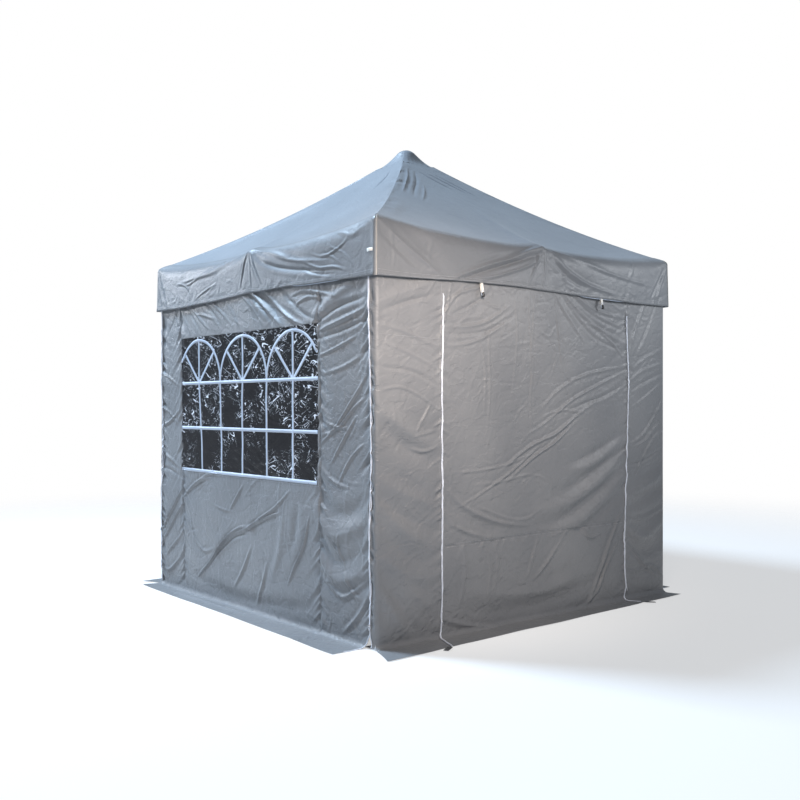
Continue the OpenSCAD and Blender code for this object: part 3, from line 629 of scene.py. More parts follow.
def wall_depth(side, s, z):
    """How far the wall's cloth stands out of its plane."""
    s, z = np.broadcast_arrays(s, z)
    depth = np.zeros(s.shape)
    seed = SEED[side]
    add_all(depth, s, z, WALL_FOLDS[side], 1.05, 0.85, 0.52)
    lean = LEAN[side]
    scatter(depth, s, z, seed + 5, 330, (-1.2, 1.2, -0.1, 2.0), lean, 24, 0.24, 0.0032, 0.0068)
    scatter(depth, s, z, seed + 6, 150, (-1.2, 1.2, 0.0, 2.0), -lean, 30, 0.16, 0.0026, 0.0068)
    scatter(depth, s, z, seed + 13, 110, (-1.2, 1.2, 0.1, 1.9), 85, 12, 0.30, 0.0022, 0.0080)
    depth += billow(s, z, seed + 7, 0.010)
    if side == "front":
        for line, mark in ((LEFT_ZIP, 8), (RIGHT_ZIP, 9)):
            across = s - zip_line(z, line)
            below = 1 - ease(z, 1.86, 1.90)
            depth += below * puckers(z, across, seed + mark, 0.0110, 0.040, 0.045)
            depth += below * 0.004 * np.exp(-((across / 0.02) ** 2))
        inside = ease(s, DOOR[0], DOOR[0] + 0.03) * (1 - ease(s, DOOR[1] - 0.03, DOOR[1]))
        across = z - door_seam(s)
        depth += inside * puckers(s, across, seed + 10, 0.0090, 0.055, 0.045)
        depth -= inside * 0.004 * np.exp(-((across / 0.008) ** 2))
        depth += 0.012 * np.exp(-(((s + 0.93) / 0.09) ** 2) - (((z + 0.03) / 0.05) ** 2))
    else:
        for top, foot in SEAMS[side]:
            across = s - (foot + (top - foot) * z / WALL_TOP)
            depth += puckers(z, across, seed + 11, 0.0140, 0.050, 0.055, 0.9)
            depth -= 0.003 * np.exp(-((across / 0.007) ** 2))
    if side in ("left", "right"):
        for end in (-1, 1):
            across = s - end * CORNER_ZIP
            near = np.exp(-((across / 0.11) ** 2))
            depth += near * puckers(z, across, seed + 12 + end, 0.0190, 0.050, 0.075, 0.9)
            depth += 0.004 * np.exp(-((across / 0.014) ** 2))
        low, high = WINDOW_Z
        frame_in = ease(s, WINDOW_S[0], WINDOW_S[0] + 0.05) * (1 - ease(s, WINDOW_S[1] - 0.05, WINDOW_S[1]))
        frame_in = frame_in * ease(z, low, low + 0.05) * (1 - ease(z, high - 0.05, high))
        depth *= 1 - 0.75 * frame_in
    if side == "left":
        lens = ease(s, -0.25, 0.30) * (1 - ease(s, 0.70, 1.05))
        crest = -0.035 - 0.030 * lens
        depth += 0.030 * lens * np.exp(-np.sqrt(((z - crest) / 0.016) ** 2 + 0.02))
    at_corner = ease(HALF - np.abs(s), 0.0, 0.05)
    by_valance = 1 - 0.75 * ease(z, 1.95, 2.03)
    on_ground = 0.45 + 0.55 * ease(z, -0.02, 0.12)
    depth = depth * at_corner * by_valance * on_ground
    return np.clip(depth, -0.02, 0.05)


def rounded_corner(s, out, radius):
    """Turns the mitred corner where two sides meet into a small round one."""
    size = np.sign(s)
    start = out - radius
    angle = np.clip((np.abs(s) - start) / radius, 0, 1) * math.pi / 4
    turned = np.abs(s) > start
    new_s = np.where(turned, size * (start + radius * np.sin(angle)), s)
    new_out = np.where(turned, out - radius * (1 - np.cos(angle)), out)
    return new_s, new_out


def wall_points(side, s, z, lift=0.0):
    """Points of a wall's surface; z below the bend runs out along the skirt."""
    s, z = np.broadcast_arrays(np.asarray(s, float), np.asarray(z, float))
    s = warp(side, s, z)
    depth = wall_depth(side, s, z) + lift
    past = np.clip(BEND - z, 0, None)
    angle = np.clip(past / BEND, 0, math.pi / 2)
    flat = np.clip(past - BEND * math.pi / 2, 0, None)
    base_s, base_out = rounded_corner(s, np.full(s.shape, HALF - 0.001), CORNER_ROUND)
    out = base_out + BEND * (1 - np.cos(angle)) + flat
    height = np.where(z > BEND, z, BEND * (1 - np.sin(angle)) + FLOOR_GAP)
    _, _, spread_low, spread_high = SKIRT[side]
    share = np.clip(past / skirt_length(side, s), 0, 1) ** 1.3
    spread = np.where(s < 0, spread_low, spread_high) - 1
    base_s = base_s * (1 + spread * share * ease(np.abs(s), 0.5, 1.25))
    out = out + depth * np.cos(angle)
    height = np.maximum(height + np.maximum(depth, -0.002) * np.sin(angle), FLOOR_GAP * 0.6)
    x, y = SIDES[side](base_s, out)
    return np.stack([x, y, height], -1)


# ---------------------------------------------------------------- the canopy's surface


def eave_drop(q):
    """How far the eave sags below the corners; q is -1 and 1 at the corners, 0 at the side's middle."""
    sag = 0.052 * (1 - np.abs(q) ** 3.2)
    peak = 0.026 * np.exp(-((np.sqrt(q * q + 0.0006) - 0.0245) / 0.075))
    return sag - peak


def roof_height(q, out):
    """Height of the roof at a distance out from the centre."""
    t = np.clip((out - CAP_OUT) / (HALF - CAP_OUT), 0, 1.02)
    line = CAP_Z - (out - CAP_OUT) * ROOF_TAN
    sag = 4 * t * (1 - t) * (0.046 + 0.012 * (1 - q * q))
    near_eave = ease(out, 0.45, HALF) ** 1.6
    return line - sag - eave_drop(q) * near_eave


def canopy_depth(side, s, z):
    depth = np.zeros(s.shape)
    seed = SEED[side] + 50
    add_all(depth, s, z, CANOPY_FOLDS[side], 0.80, 0.7, 0.55)
    hanging = 1 - ease(z, 2.18, 2.26)
    small = np.zeros(s.shape)
    scatter(small, s, z, seed + 1, 46, (-1.2, 1.2, 1.95, 2.2), 15, 35, 0.16, 0.0030, 0.011)
    depth += small * hanging
    depth += billow(s, z, seed + 2, 0.004, 0.5) * (0.35 + 0.65 * hanging)
    hem = z - (HEM_Z + 0.035)
    depth += puckers(s, hem, seed + 3, 0.0030, 0.030, 0.030, 0.2) * hanging
    hip = ease(z, 2.4, 2.6) * np.exp(-(((HALF - 0.02 - (z - EAVE_Z) * 0.855) - np.abs(s)) / 0.05) ** 2)
    depth += hip * 0.004 * noise(z / 0.05, np.sign(s) * 3.0, seed + 4)
    return depth


def hem_height(side, s):
    sway = 0.010 * np.cos(s * 2.6 + 0.6) + 0.004 * noise(s / 0.22, 2.0, SEED[side] + 60)
    return HEM_Z - 0.002 + sway


def canopy_points(side, q, rise, lift=0.0):
    """Points of the canopy. rise 0 to 1 climbs the valance, 1 to 2 is the soft eave,
    and 2 to 3 is the roof from the gore's edge to the cap."""
    q, rise = np.broadcast_arrays(np.asarray(q, float), np.asarray(rise, float))
    edge = EAVE_Z + 0.006 - eave_drop(q)
    held = np.exp(-((q / 0.05) ** 2)) + ease(np.abs(q), 0.86, 0.99)
    roll_start = edge - ROLL + (ROLL - TIGHT_ROLL) * np.clip(held, 0, 1)
    low = hem_height(side, q * VALANCE_OUT)
    climb = np.clip(rise, 0, 1)
    turn = np.clip(rise - 1, 0, 1)
    slope = np.clip(rise - 2, 0, 1)
    gore_z = roof_height(q, GORE_OUT)
    out_turn = VALANCE_OUT * (1 - turn**2) + GORE_OUT * turn**2
    z_turn = roll_start * (1 - turn) ** 2 + 2 * edge * turn * (1 - turn) + gore_z * turn**2
    out_slope = GORE_OUT + (CAP_OUT - GORE_OUT) * slope
    out = np.where(rise <= 2, out_turn, out_slope)
    height = np.where(rise <= 1, low + (roll_start - low) * climb, z_turn)
    height = np.where(rise > 2, roof_height(q, out), height)
    angle = np.where(rise <= 1, 0, np.where(rise <= 2, turn, 1)) * (math.pi / 2 - math.atan(ROOF_TAN))
    past_eave = EAVE_Z + (HALF - out) * math.hypot(1, ROOF_TAN)
    run = np.where(rise <= 1, height, roll_start + (past_eave - roll_start) * turn)
    run = np.where(rise > 2, past_eave, run)
    s = q * out
    at_edge = ease(1 - np.abs(q), 0.0, 0.035)
    depth = canopy_depth(side, s, run) * at_edge + lift
    flare = 0.005 * (1 - climb) * ease(np.abs(q), 0.2, 0.9)
    base_s, base_out = rounded_corner(s, out, VALANCE_ROUND)
    soft = np.where(rise <= 2, 1 - turn, 0)
    base_s, base_out = soft * base_s + (1 - soft) * s, soft * base_out + (1 - soft) * out
    out = base_out + flare + depth * np.cos(angle)
    height = height + depth * np.sin(angle)
    x, y = SIDES[side](base_s * (1 + flare / 1.25), out)
    return np.stack([x, y, height], -1)


# ---------------------------------------------------------------- meshes


def steps(breaks, size):
    """Values from the first break to the last, about size apart, that hit every break."""
    parts = [
        np.linspace(a, b, max(2, int(round(abs(b - a) / size)) + 1))[:-1]
        for a, b in zip(breaks, breaks[1:])
    ]
    return np.concatenate(parts + [np.array([breaks[-1]])])


def mesh_piece(name, verts, faces, material, smooth=True):
    """A linked object from an array of vertices and a list of faces."""
    mesh = bpy.data.meshes.new(name)
    mesh.from_pydata(verts.tolist(), [], faces)
    mesh.polygons.foreach_set("use_smooth", [smooth] * len(mesh.polygons))
    mesh.materials.append(material)
    mesh.update()
    piece = bpy.data.objects.new(name, mesh)
    bpy.context.scene.collection.objects.link(piece)
    return piece


def grid_faces(rows, columns, flip, keep=None, start=0):
    index = start + np.arange(rows * columns).reshape(rows, columns)
    quads = np.stack([index[:-1, :-1], index[:-1, 1:], index[1:, 1:], index[1:, :-1]], -1)
    if flip:
        quads = quads[..., ::-1]
    quads = quads.reshape(-1, 4)
    return quads if keep is None else quads[keep.reshape(-1)]


def cloth_piece(name, grids, material, flip):
    """One mesh from several grids of points, each with an optional mask of the quads that it keeps."""
    verts, faces, start = [], [], 0
    for points, keep in grids:
        rows, columns = points.shape[:2]
        quads = grid_faces(rows, columns, flip, keep)
        used = np.unique(quads)
        renumber = np.zeros(rows * columns, int)
        renumber[used] = np.arange(len(used)) + start
        verts.append(points.reshape(-1, 3)[used])
        faces.append(renumber[quads])
        start += len(used)
    return mesh_piece(name, np.vstack(verts), np.vstack(faces).tolist(), material)


def ring_faces(rings, around):
    """Quads between closed rings of points that follow each other."""
    faces = []
    for i in range(rings - 1):
        for k in range(around):
            a, b = i * around + k, i * around + (k + 1) % around
            faces.append((a, b, b + around, a + around))
    return faces


def tube_mesh(line, half_wide, half_high, normals, sides=8):
    """Vertices and faces of a flattened tube along a line; normals give its upper side."""
    line, normals = np.asarray(line, float), np.asarray(normals, float)
    ways = np.gradient(line, axis=0)
    ways /= np.linalg.norm(ways, axis=1)[:, None]
    across = np.cross(ways, normals)
    across /= np.linalg.norm(across, axis=1)[:, None]
    up = np.cross(across, ways)
    turn = np.arange(sides) * 2 * math.pi / sides
    count = len(line)
    wide = np.broadcast_to(np.asarray(half_wide, float), (count,))
    high = np.broadcast_to(np.asarray(half_high, float), (count,))
    ring = line[:, None] + (
        across[:, None] * (wide[:, None] * np.cos(turn))[..., None]
        + up[:, None] * (high[:, None] * np.sin(turn))[..., None]
    )
    faces = ring_faces(count, sides)
    verts = np.vstack([ring.reshape(-1, 3), line[:1], line[-1:]])
    first, last, end = count * sides, count * sides + 1, (count - 1) * sides
    faces += [(first, (k + 1) % sides, k) for k in range(sides)]
    faces += [(last, end + k, end + (k + 1) % sides) for k in range(sides)]
    return verts, faces


def joined(parts):
    """One list of vertices and one of faces from several."""
    verts, faces, start = [], [], 0
    for part_verts, part_faces in parts:
        verts.append(np.asarray(part_verts, float))
        faces += [[start + int(i) for i in dict.fromkeys(face)] for face in part_faces]
        start += len(part_verts)
    return np.vstack(verts), faces


def parts_piece(name, parts, material, smooth=True):
    """One piece from several (vertices, faces) pairs."""
    return mesh_piece(name, *joined(parts), material, smooth)


def surface_normals(points_of, s, z):
    """Normals of a surface along a line on it."""
    small = 0.004
    down = points_of(s, z + small) - points_of(s, z - small)
    side = points_of(s + small, z) - points_of(s - small, z)
    normal = np.cross(side, down)
    return normal / np.linalg.norm(normal, axis=1)[:, None]


def normals_out(side, surface, s, z):
    """Normals of a side's wall_points or canopy_points that face away from the tent."""
    normals = surface_normals(lambda a, b: surface(side, a, b), s, z)
    return -normals if side in FACES_IN else normals


# ---------------------------------------------------------------- materials


def node_material(name):
    mat = bpy.data.materials.new(name)
    mat.use_nodes = True
    return mat, mat.node_tree.nodes, mat.node_tree.links, mat.node_tree.nodes["Principled BSDF"]


def noise_node(nodes, links, source, scale, detail, stretch=(1, 1, 1), turn=(0, 0, 0)):
    """Noise drawn out by stretch along axes that are turned first."""
    mapping = nodes.new("ShaderNodeMapping")
    mapping.vector_type = "TEXTURE"
    mapping.inputs["Scale"].default_value = stretch
    mapping.inputs["Rotation"].default_value = turn
    texture = nodes.new("ShaderNodeTexNoise")
    texture.inputs["Scale"].default_value = scale
    texture.inputs["Detail"].default_value = detail
    links.new(source, mapping.inputs["Vector"])
    links.new(mapping.outputs["Vector"], texture.inputs["Vector"])
    return texture.outputs["Fac"]


def range_node(nodes, links, value, smooth=False, **ends):
    """Maps a value from one range to another; ends names the limits, such as From_Min."""
    node = nodes.new("ShaderNodeMapRange")
    if smooth:
        node.interpolation_type = "SMOOTHSTEP"
    for name, limit in ends.items():
        node.inputs[name.replace("_", " ")].default_value = limit
    links.new(value, node.inputs["Value"])
    return node.outputs["Result"]


def weave_node(nodes, links, source, scale):
    """Height of a plain weave: threads up and across."""
    waves = []
    for direction in ("X", "Y", "Z"):
        wave = nodes.new("ShaderNodeTexWave")
        wave.bands_direction = direction
        wave.inputs["Scale"].default_value = scale
        links.new(source, wave.inputs["Vector"])
        waves.append(wave.outputs["Fac"])
    total = math_node(nodes, links, "ADD", waves[0], waves[1])
    return math_node(nodes, links, "MULTIPLY", total, waves[2])


def bump_node(nodes, links, height, strength, distance, before=None):
    bump = nodes.new("ShaderNodeBump")
    bump.inputs["Strength"].default_value = strength
    bump.inputs["Distance"].default_value = distance
    links.new(height, bump.inputs["Height"])
    if before is not None:
        links.new(before, bump.inputs["Normal"])
    return bump.outputs["Normal"]


def crease_lines(nodes, links, place, before, scale, strength, height):
    """Bump of thin wandering creases: the narrow band where a noise crosses its middle."""
    level = noise_node(nodes, links, place, scale, 5, (1.5, 1.5, 0.8), (0.4, -0.4, 0.2))
    narrow = range_node(nodes, links, level, True, From_Min=0.485, From_Max=0.515)
    return bump_node(nodes, links, narrow, strength, height, before)


def facet_creases(nodes, links, place, before, scale, strength, height):
    """Bump of straight fold lines that meet in corners, as in cloth that was packed away."""
    wander = nodes.new("ShaderNodeTexNoise")
    wander.inputs["Scale"].default_value = scale * 0.6
    links.new(place, wander.inputs["Vector"])
    shift = nodes.new("ShaderNodeVectorMath")
    shift.operation = "MULTIPLY_ADD"
    shift.inputs[1].default_value = (0.9 / scale,) * 3
    links.new(wander.outputs["Color"], shift.inputs[0])
    links.new(place, shift.inputs[2])
    cells = nodes.new("ShaderNodeTexVoronoi")
    cells.feature = "DISTANCE_TO_EDGE"
    cells.inputs["Scale"].default_value = scale
    links.new(shift.outputs["Vector"], cells.inputs["Vector"])
    slope = range_node(nodes, links, cells.outputs["Distance"], True, From_Max=0.07)
    return bump_node(nodes, links, slope, strength, height, before)


def ramp_node(nodes, links, value, stops):
    ramp = nodes.new("ShaderNodeValToRGB")
    elements = ramp.color_ramp.elements
    while len(elements) < len(stops):
        elements.new(0.5)
    for element, (place, colour) in zip(elements, stops):
        element.position = place
        element.color = (*colour, 1)
    links.new(value, ramp.inputs["Fac"])
    return ramp.outputs["Color"]


def cloth_material(name, dark, light, rough=0.42, crumple=0.5):
    """Coated polyester: a tight weave, faint mottling, fine handling creases and a satin sheen."""
    mat, nodes, links, shader = node_material(name)
    place = nodes.new("ShaderNodeTexCoord").outputs["Object"]
    mottle = noise_node(nodes, links, place, 2.2, 5)
    links.new(ramp_node(nodes, links, mottle, ((0.30, dark), (0.72, light))), shader.inputs["Base Color"])
    creases = noise_node(nodes, links, place, 10, 8, (1.6, 1.6, 0.8), (0.35, -0.35, 0.0))
    fine = noise_node(nodes, links, place, 50, 4, (2.0, 2.0, 0.8), (-0.5, 0.5, 0.0))
    normal = bump_node(nodes, links, creases, crumple, 0.012)
    normal = crease_lines(nodes, links, place, normal, 7.0, crumple, 0.0035)
    normal = crease_lines(nodes, links, place, normal, 17.0, crumple, 0.0016)
    normal = facet_creases(nodes, links, place, normal, 5.0, 0.6 * crumple, 0.0030)
    normal = bump_node(nodes, links, fine, 0.30, 0.0022, normal)
    normal = bump_node(nodes, links, weave_node(nodes, links, place, 330), 0.25, 0.0003, normal)
    links.new(normal, shader.inputs["Normal"])
    satin = range_node(nodes, links, creases, To_Min=rough - 0.06, To_Max=rough + 0.10)
    links.new(satin, shader.inputs["Roughness"])
    shader.inputs["Specular IOR Level"].default_value = 0.45
    shader.inputs["Sheen Weight"].default_value = 0.12
    shader.inputs["Sheen Roughness"].default_value = 0.4
    return mat


def plain_material(name, colour, rough, metal=0.0, scale=60.0, grain=0.0004, spread=0.18):
    """A hard material with a fine grain and slight unevenness of colour and gloss."""
    mat, nodes, links, shader = node_material(name)
    place = nodes.new("ShaderNodeTexCoord").outputs["Object"]
    blotch = noise_node(nodes, links, place, scale * 0.2, 4)
    low = tuple(c * (1 - spread) for c in colour)
    high = tuple(min(1.0, c * (1 + spread)) for c in colour)
    links.new(ramp_node(nodes, links, blotch, ((0.3, low), (0.7, high))), shader.inputs["Base Color"])
    grit = noise_node(nodes, links, place, scale * 6, 3)
    links.new(bump_node(nodes, links, grit, 0.4, grain), shader.inputs["Normal"])
    gloss = range_node(nodes, links, blotch, To_Min=max(0.05, rough - 0.08), To_Max=rough + 0.1)
    links.new(gloss, shader.inputs["Roughness"])
    shader.inputs["Metallic"].default_value = metal
    return mat


def math_node(nodes, links, kind, first, second):
    node = nodes.new("ShaderNodeMath")
    node.operation = kind
    for socket, value in zip(node.inputs, (first, second)):
        if isinstance(value, float):
            socket.default_value = value
        else:
            links.new(value, socket)
    return node.outputs[0]


def crinkle_and_glint_strokes(nodes, links, place, scale, turn, width):
    """Short curved strokes: pieces of the line where a drawn-out noise crosses its middle."""
    level = noise_node(nodes, links, place, scale, 0.4, (1.0, 4.6, 0.7), (turn, 0.0, 0.0))
    off = math_node(nodes, links, "ABSOLUTE", math_node(nodes, links, "SUBTRACT", level, 0.5), 0.0)
    parts = noise_node(nodes, links, place, scale * 0.9, 1, (1, 1, 1), (turn, 1, 0))
    pieces = range_node(nodes, links, parts, True, From_Min=0.52, From_Max=0.54)
    return math_node(nodes, links, "LESS_THAN", off, math_node(nodes, links, "MULTIPLY", pieces, width))


def clear_material():
    """PVC sheet over the dark inside, painted near black and mostly opaque as painted shade for that inside:
    glossy, with fine white strokes that are partly whitened crinkles where it was folded and partly painted
    glints, crowding towards the top.
    """
    mat, nodes, links, shader = node_material("clear_pvc")
    place = nodes.new("ShaderNodeTexCoord").outputs["Object"]
    # Where the white strokes gather, denser towards the top: partly whitened crinkles, partly painted
    # glints.
    patches = noise_node(nodes, links, place, 5.0, 2, (1.0, 1.3, 0.9), (0.34, 0.0, 0.0))
    height = nodes.new("ShaderNodeSeparateXYZ")
    links.new(place, height.inputs[0])
    top = range_node(nodes, links, height.outputs["Z"], From_Min=1.0, From_Max=1.7, To_Max=0.12)
    crowd = math_node(nodes, links, "ADD", patches, top)
    busy = range_node(nodes, links, crowd, From_Min=0.44, From_Max=0.66, To_Max=0.0115)
    mark = crinkle_and_glint_strokes(nodes, links, place, 15.0, 0.34, busy)
    for scale, turn in ((21.0, -0.5), (29.0, 0.9), (40.0, 0.1)):
        layer = crinkle_and_glint_strokes(nodes, links, place, scale, turn, busy)
        mark = math_node(nodes, links, "MAXIMUM", mark, layer)
    # Near-black base: painted shade for the dark inside. Near-white strokes: whitened crinkles and painted
    # glints.
    stops = ((0.0, (0.013, 0.012, 0.014)), (1.0, (0.80, 0.83, 0.90)))
    links.new(ramp_node(nodes, links, mark, stops), shader.inputs["Base Color"])
    shader.inputs["Roughness"].default_value = 0.16
    crumple = noise_node(nodes, links, place, 22, 5, (1.0, 2.4, 0.8), (0.34, 0.0, 0.0))
    links.new(bump_node(nodes, links, crumple, 0.6, 0.008), shader.inputs["Normal"])
    # Mostly opaque, so the painted dark stands for the shaded inside.
    share = range_node(nodes, links, mark, To_Min=0.80, To_Max=0.94)
    links.new(share, shader.inputs["Alpha"])
    return mat


GREY_DARK, GREY_LIGHT = (0.158, 0.163, 0.173), (0.200, 0.203, 0.211)
wall_cloth = cloth_material("wall_polyester", GREY_DARK, GREY_LIGHT)
roof_cloth = cloth_material("canopy_polyester", (0.170, 0.184, 0.204), (0.198, 0.212, 0.233), 0.40, 0.2)
# The valance is the canopy's own cloth in darker colours: painted shade for its upright face, which gets
# less sky light than the roof.
valance_cloth_painted_shade = cloth_material("valance_polyester_painted_shade", (0.137, 0.144, 0.155), (0.160, 0.167, 0.179), 0.40, 0.2)
zip_white = plain_material("zip_coil", (0.62, 0.65, 0.72), 0.45, scale=90)
bar_white = plain_material("printed_bar", (0.42, 0.48, 0.58), 0.35, scale=30, spread=0.08)
piping_cream = plain_material("cream_piping", (0.40, 0.38, 0.35), 0.6, scale=90)
webbing = plain_material("cream_webbing", (0.74, 0.71, 0.66), 0.7, scale=120, grain=0.0012)
black_plastic = plain_material("moulded_plastic", (0.022, 0.022, 0.024), 0.35, scale=80)
steel = plain_material("painted_steel", (0.60, 0.61, 0.63), 0.32, metal=0.75, scale=40)
zip_metal = plain_material("zip_alloy", (0.55, 0.55, 0.57), 0.25, metal=1.0, scale=60)
thread = plain_material("thread", (0.30, 0.31, 0.33), 0.7, scale=200)
zip_tape = plain_material("zip_tape", (0.085, 0.088, 0.095), 0.7, scale=160)
clear_pvc = clear_material()


# ---------------------------------------------------------------- walls, door and windows

CLOTH_STEP = {"front": 0.0065, "left": 0.0070, "right": 0.0095, "rear": 0.0095}
side_bodies = {side: "side_" + side for side in SIDES}


def fold_with_frame(piece, side, body=None):
    """The piece rides its side, or the given body, with a mesh of its own."""
    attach(piece, body or side_bodies[side])
    x, y = SIDES[side](0.0, HALF)
    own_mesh(piece)


def wall_grid(side, s_breaks, top, skirt=True, hole=None, gap=0.0, gap_end=0):
    """Grid points of a stretch of wall. hole is a box of s and z left open; gap spreads one end of
    the stretch away from the zip near the ground."""
    size = CLOTH_STEP[side]
    s = steps(s_breaks, size)
    bottom = BEND if skirt is True else skirt
    z_breaks = [top] + ([hole[3], hole[2]] if hole else []) + [bottom]
    z = steps(z_breaks, size)
    s_all, z_all = np.meshgrid(s, z)
    if skirt is True:
        share = np.linspace(0, 1, int(0.30 / size))[1:]
        s_low, share_low = np.meshgrid(s, share)
        z_low = BEND - share_low * skirt_length(side, s_low)
        s_all, z_all = np.vstack([s_all, s_low]), np.vstack([z_all, z_low])
    if gap:
        end = s_breaks[gap_end]
        s_all = s_all + gap * (1 - ease(z_all, -0.05, 0.13)) * np.exp(-np.abs(s_all - end) / 0.05)
    points = wall_points(side, s_all, z_all)
    keep = None
    if hole:
        s_mid = (s_all[:-1, :-1] + s_all[1:, 1:]) / 2
        z_mid = (z_all[:-1, :-1] + z_all[1:, 1:]) / 2
        inside = (s_mid > hole[0]) & (s_mid < hole[1]) & (z_mid > hole[2]) & (z_mid < hole[3])
        keep = ~inside
    return points[::-1], None if keep is None else keep[::-1]


def make_front_wall():
    strips = [
        wall_grid("front", (-HALF, DOOR[0]), WALL_TOP),
        wall_grid("front", (DOOR[1], HALF), WALL_TOP),
        wall_grid("front", DOOR, WALL_TOP, skirt=DOOR_TOP),
    ]
    wall = cloth_piece("front_wall_cloth", strips, wall_cloth, False)
    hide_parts("wall_front")
    fold_with_frame(wall, "front")

    door = cloth_piece("door_cloth", [wall_grid("front", DOOR, DOOR_TOP)], wall_cloth, False)
    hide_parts("door_panel")
    fold_with_frame(door, "front", "door")


def make_window_wall(side):
    hole = (*WINDOW_S, *WINDOW_Z)
    strips = [
        wall_grid(side, (-HALF, -CORNER_ZIP), WALL_TOP, skirt=0.004, gap=-0.028, gap_end=1),
        wall_grid(side, (-CORNER_ZIP, *WINDOW_S, CORNER_ZIP), WALL_TOP, hole=hole, gap=0.038),
        wall_grid(side, (CORNER_ZIP, HALF), WALL_TOP),
    ]
    wall = cloth_piece(side + "_wall_cloth", strips, wall_cloth, side in FACES_IN)
    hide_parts("wall_" + side)
    fold_with_frame(wall, side)


def make_rear_wall():
    wall = cloth_piece("rear_wall_cloth", [wall_grid("rear", (-HALF, HALF), WALL_TOP)], wall_cloth, True)
    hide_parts("wall_rear")
    fold_with_frame(wall, "rear")


ARCH = 0.284  # pitch of the upright bars and radius of the arches
ARCH_FOOT = 1.42
ARCH_MID = 0.090
RAILS = (0.836, 1.120, ARCH_FOOT)
BAR_WIDE = 0.018
RAIL_WIDE = 0.021


def window_lean(s, z):
    """The bars lean a little with the cloth, more towards the far end."""
    return s - 0.045 * ease(s, 0.0, 0.7) * (1 - ease(z, 0.82, 1.45)) + 0.004 * noise(z / 0.13, s / 0.28, 77)


def ribbon(side, path, wide, lift=0.0016):
    """A printed bar: a thin flat strip along a path (s, z) on the window."""
    line = np.asarray(path, float)
    way = np.gradient(line, axis=0)
    way /= np.linalg.norm(way, axis=1)[:, None]
    across = np.stack([-way[:, 1], way[:, 0]], -1) * wide / 2
    rows = [line - across, line, line + across]
    high = [wall_points(side, r[:, 0], r[:, 1], lift) for r in rows]
    low = [wall_points(side, r[:, 0], r[:, 1], lift - 0.0012) for r in (rows[2], rows[0])]
    ring = np.stack(high + low, 1)
    count, around = ring.shape[:2]
    faces = ring_faces(count, around)
    faces.append(tuple(range(around)))
    faces.append(tuple(reversed(range((count - 1) * around, count * around))))
    if side not in FACES_IN:
        faces = [f[::-1] for f in faces]
    return ring.reshape(-1, 3), faces


def window_bars(side):
    low, high = WINDOW_S
    parts = []
    for z in RAILS:
        s = np.linspace(low + 0.004, high - 0.004, 90)
        parts.append(ribbon(side, np.stack([s, np.full(90, z)], -1), RAIL_WIDE))
    for k in range(-2, 3):
        z = np.linspace(RAILS[0], ARCH_FOOT + (ARCH if k % 2 == 0 else 0.07), 60)
        s = window_lean(np.full(60, ARCH_MID + k * ARCH), z)
        parts.append(ribbon(side, np.stack([s, z], -1), BAR_WIDE))
    for k in (-2, 0, 2):
        middle = ARCH_MID + k * ARCH
        turn = np.linspace(0, math.pi, 70)
        arch = np.stack([middle + ARCH * np.cos(turn), ARCH_FOOT + ARCH * np.sin(turn)], -1)
        arch = arch[(arch[:, 0] > low + 0.008) & (arch[:, 0] < high - 0.008)]
        parts.append(ribbon(side, arch, BAR_WIDE))
        for lean in (45, 135):
            reach = np.linspace(0.012, ARCH - 0.004, 20)
            way = math.cos(math.radians(lean)), math.sin(math.radians(lean))
            ray = np.stack([middle + reach * way[0], ARCH_FOOT + reach * way[1]], -1)
            parts.append(ribbon(side, ray, BAR_WIDE))
    return parts


def make_window(side):
    s = steps(WINDOW_S, 0.006)
    z = steps(WINDOW_Z[::-1], 0.006)
    s_all, z_all = np.meshgrid(s, z)
    crinkle = np.zeros(s_all.shape)
    scatter(crinkle, s_all, z_all, SEED[side] + 20, 420, (*WINDOW_S, *WINDOW_Z), 20, 22, 0.10, 0.0022, 0.009)
    inset = np.minimum(s_all - WINDOW_S[0], WINDOW_S[1] - s_all)
    inset = np.minimum(inset, np.minimum(z_all - WINDOW_Z[0], WINDOW_Z[1] - z_all))
    points = wall_points(side, s_all, z_all, np.minimum(crinkle, 0.0008) * ease(inset, 0.0, 0.03))
    sheet = cloth_piece(side + "_window_clear", [(points[::-1], None)], clear_pvc, side in FACES_IN)
    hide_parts("window_" + side)
    fold_with_frame(sheet, side)
    bars = parts_piece(side + "_window_bars", window_bars(side), bar_white)
    fold_with_frame(bars, side)


# ---------------------------------------------------------------- zips


def zip_row(side, s, z_from, z_to, end_shift=0.0):
    """One side of a zip: a ribbed coil along an upright line."""
    count = int(abs(z_from - z_to) / 0.0028)
    z = np.linspace(z_from, z_to, count)
    s = s + end_shift * (1 - ease(z, -0.05, 0.13))
    rib = 1 + 0.13 * np.sin(np.arange(count) * math.pi * 0.9)
    normals = normals_out(side, wall_points, s, z)
    return tube_mesh(wall_points(side, s, z, 0.003), 0.0030 * rib, 0.0026 * rib, normals, 6)


def zip_piece(name, side, rows, body=None):
    piece = parts_piece(name, rows, zip_white)
    fold_with_frame(piece, side, body)


CORNER_ROWS = (  # end of the wall, side of the zip, height of the foot and how far it spreads
    (-1, -1, 0.008, -0.028),
    (-1, 1, -0.12, 0.038),
    (1, -1, 0.04, 0.0),
    (1, 1, 0.04, 0.0),
)


def make_zips():
    ends = (("left", DOOR[0], -1, 1.880, -0.165), ("right", DOOR[1], 1, 1.852, -0.10))
    for name, s, way, top, foot in ends:
        wall_side = zip_row("front", s + way * ZIP_HALF, top, foot)
        door_side = zip_row("front", s - way * ZIP_HALF, min(top, DOOR_TOP - 0.003), foot)
        zip_piece("door_zip_outer_" + name, "front", [wall_side])
        zip_piece("door_zip_inner_" + name, "front", [door_side], "door")
    for side in ("left", "right"):
        rows = []
        for end, way, low, shift in CORNER_ROWS:
            rows.append(zip_row(side, end * CORNER_ZIP + way * ZIP_HALF, 2.15, low, shift))
        zip_piece("corner_zips_" + side, side, rows)


# ---------------------------------------------------------------- canopy


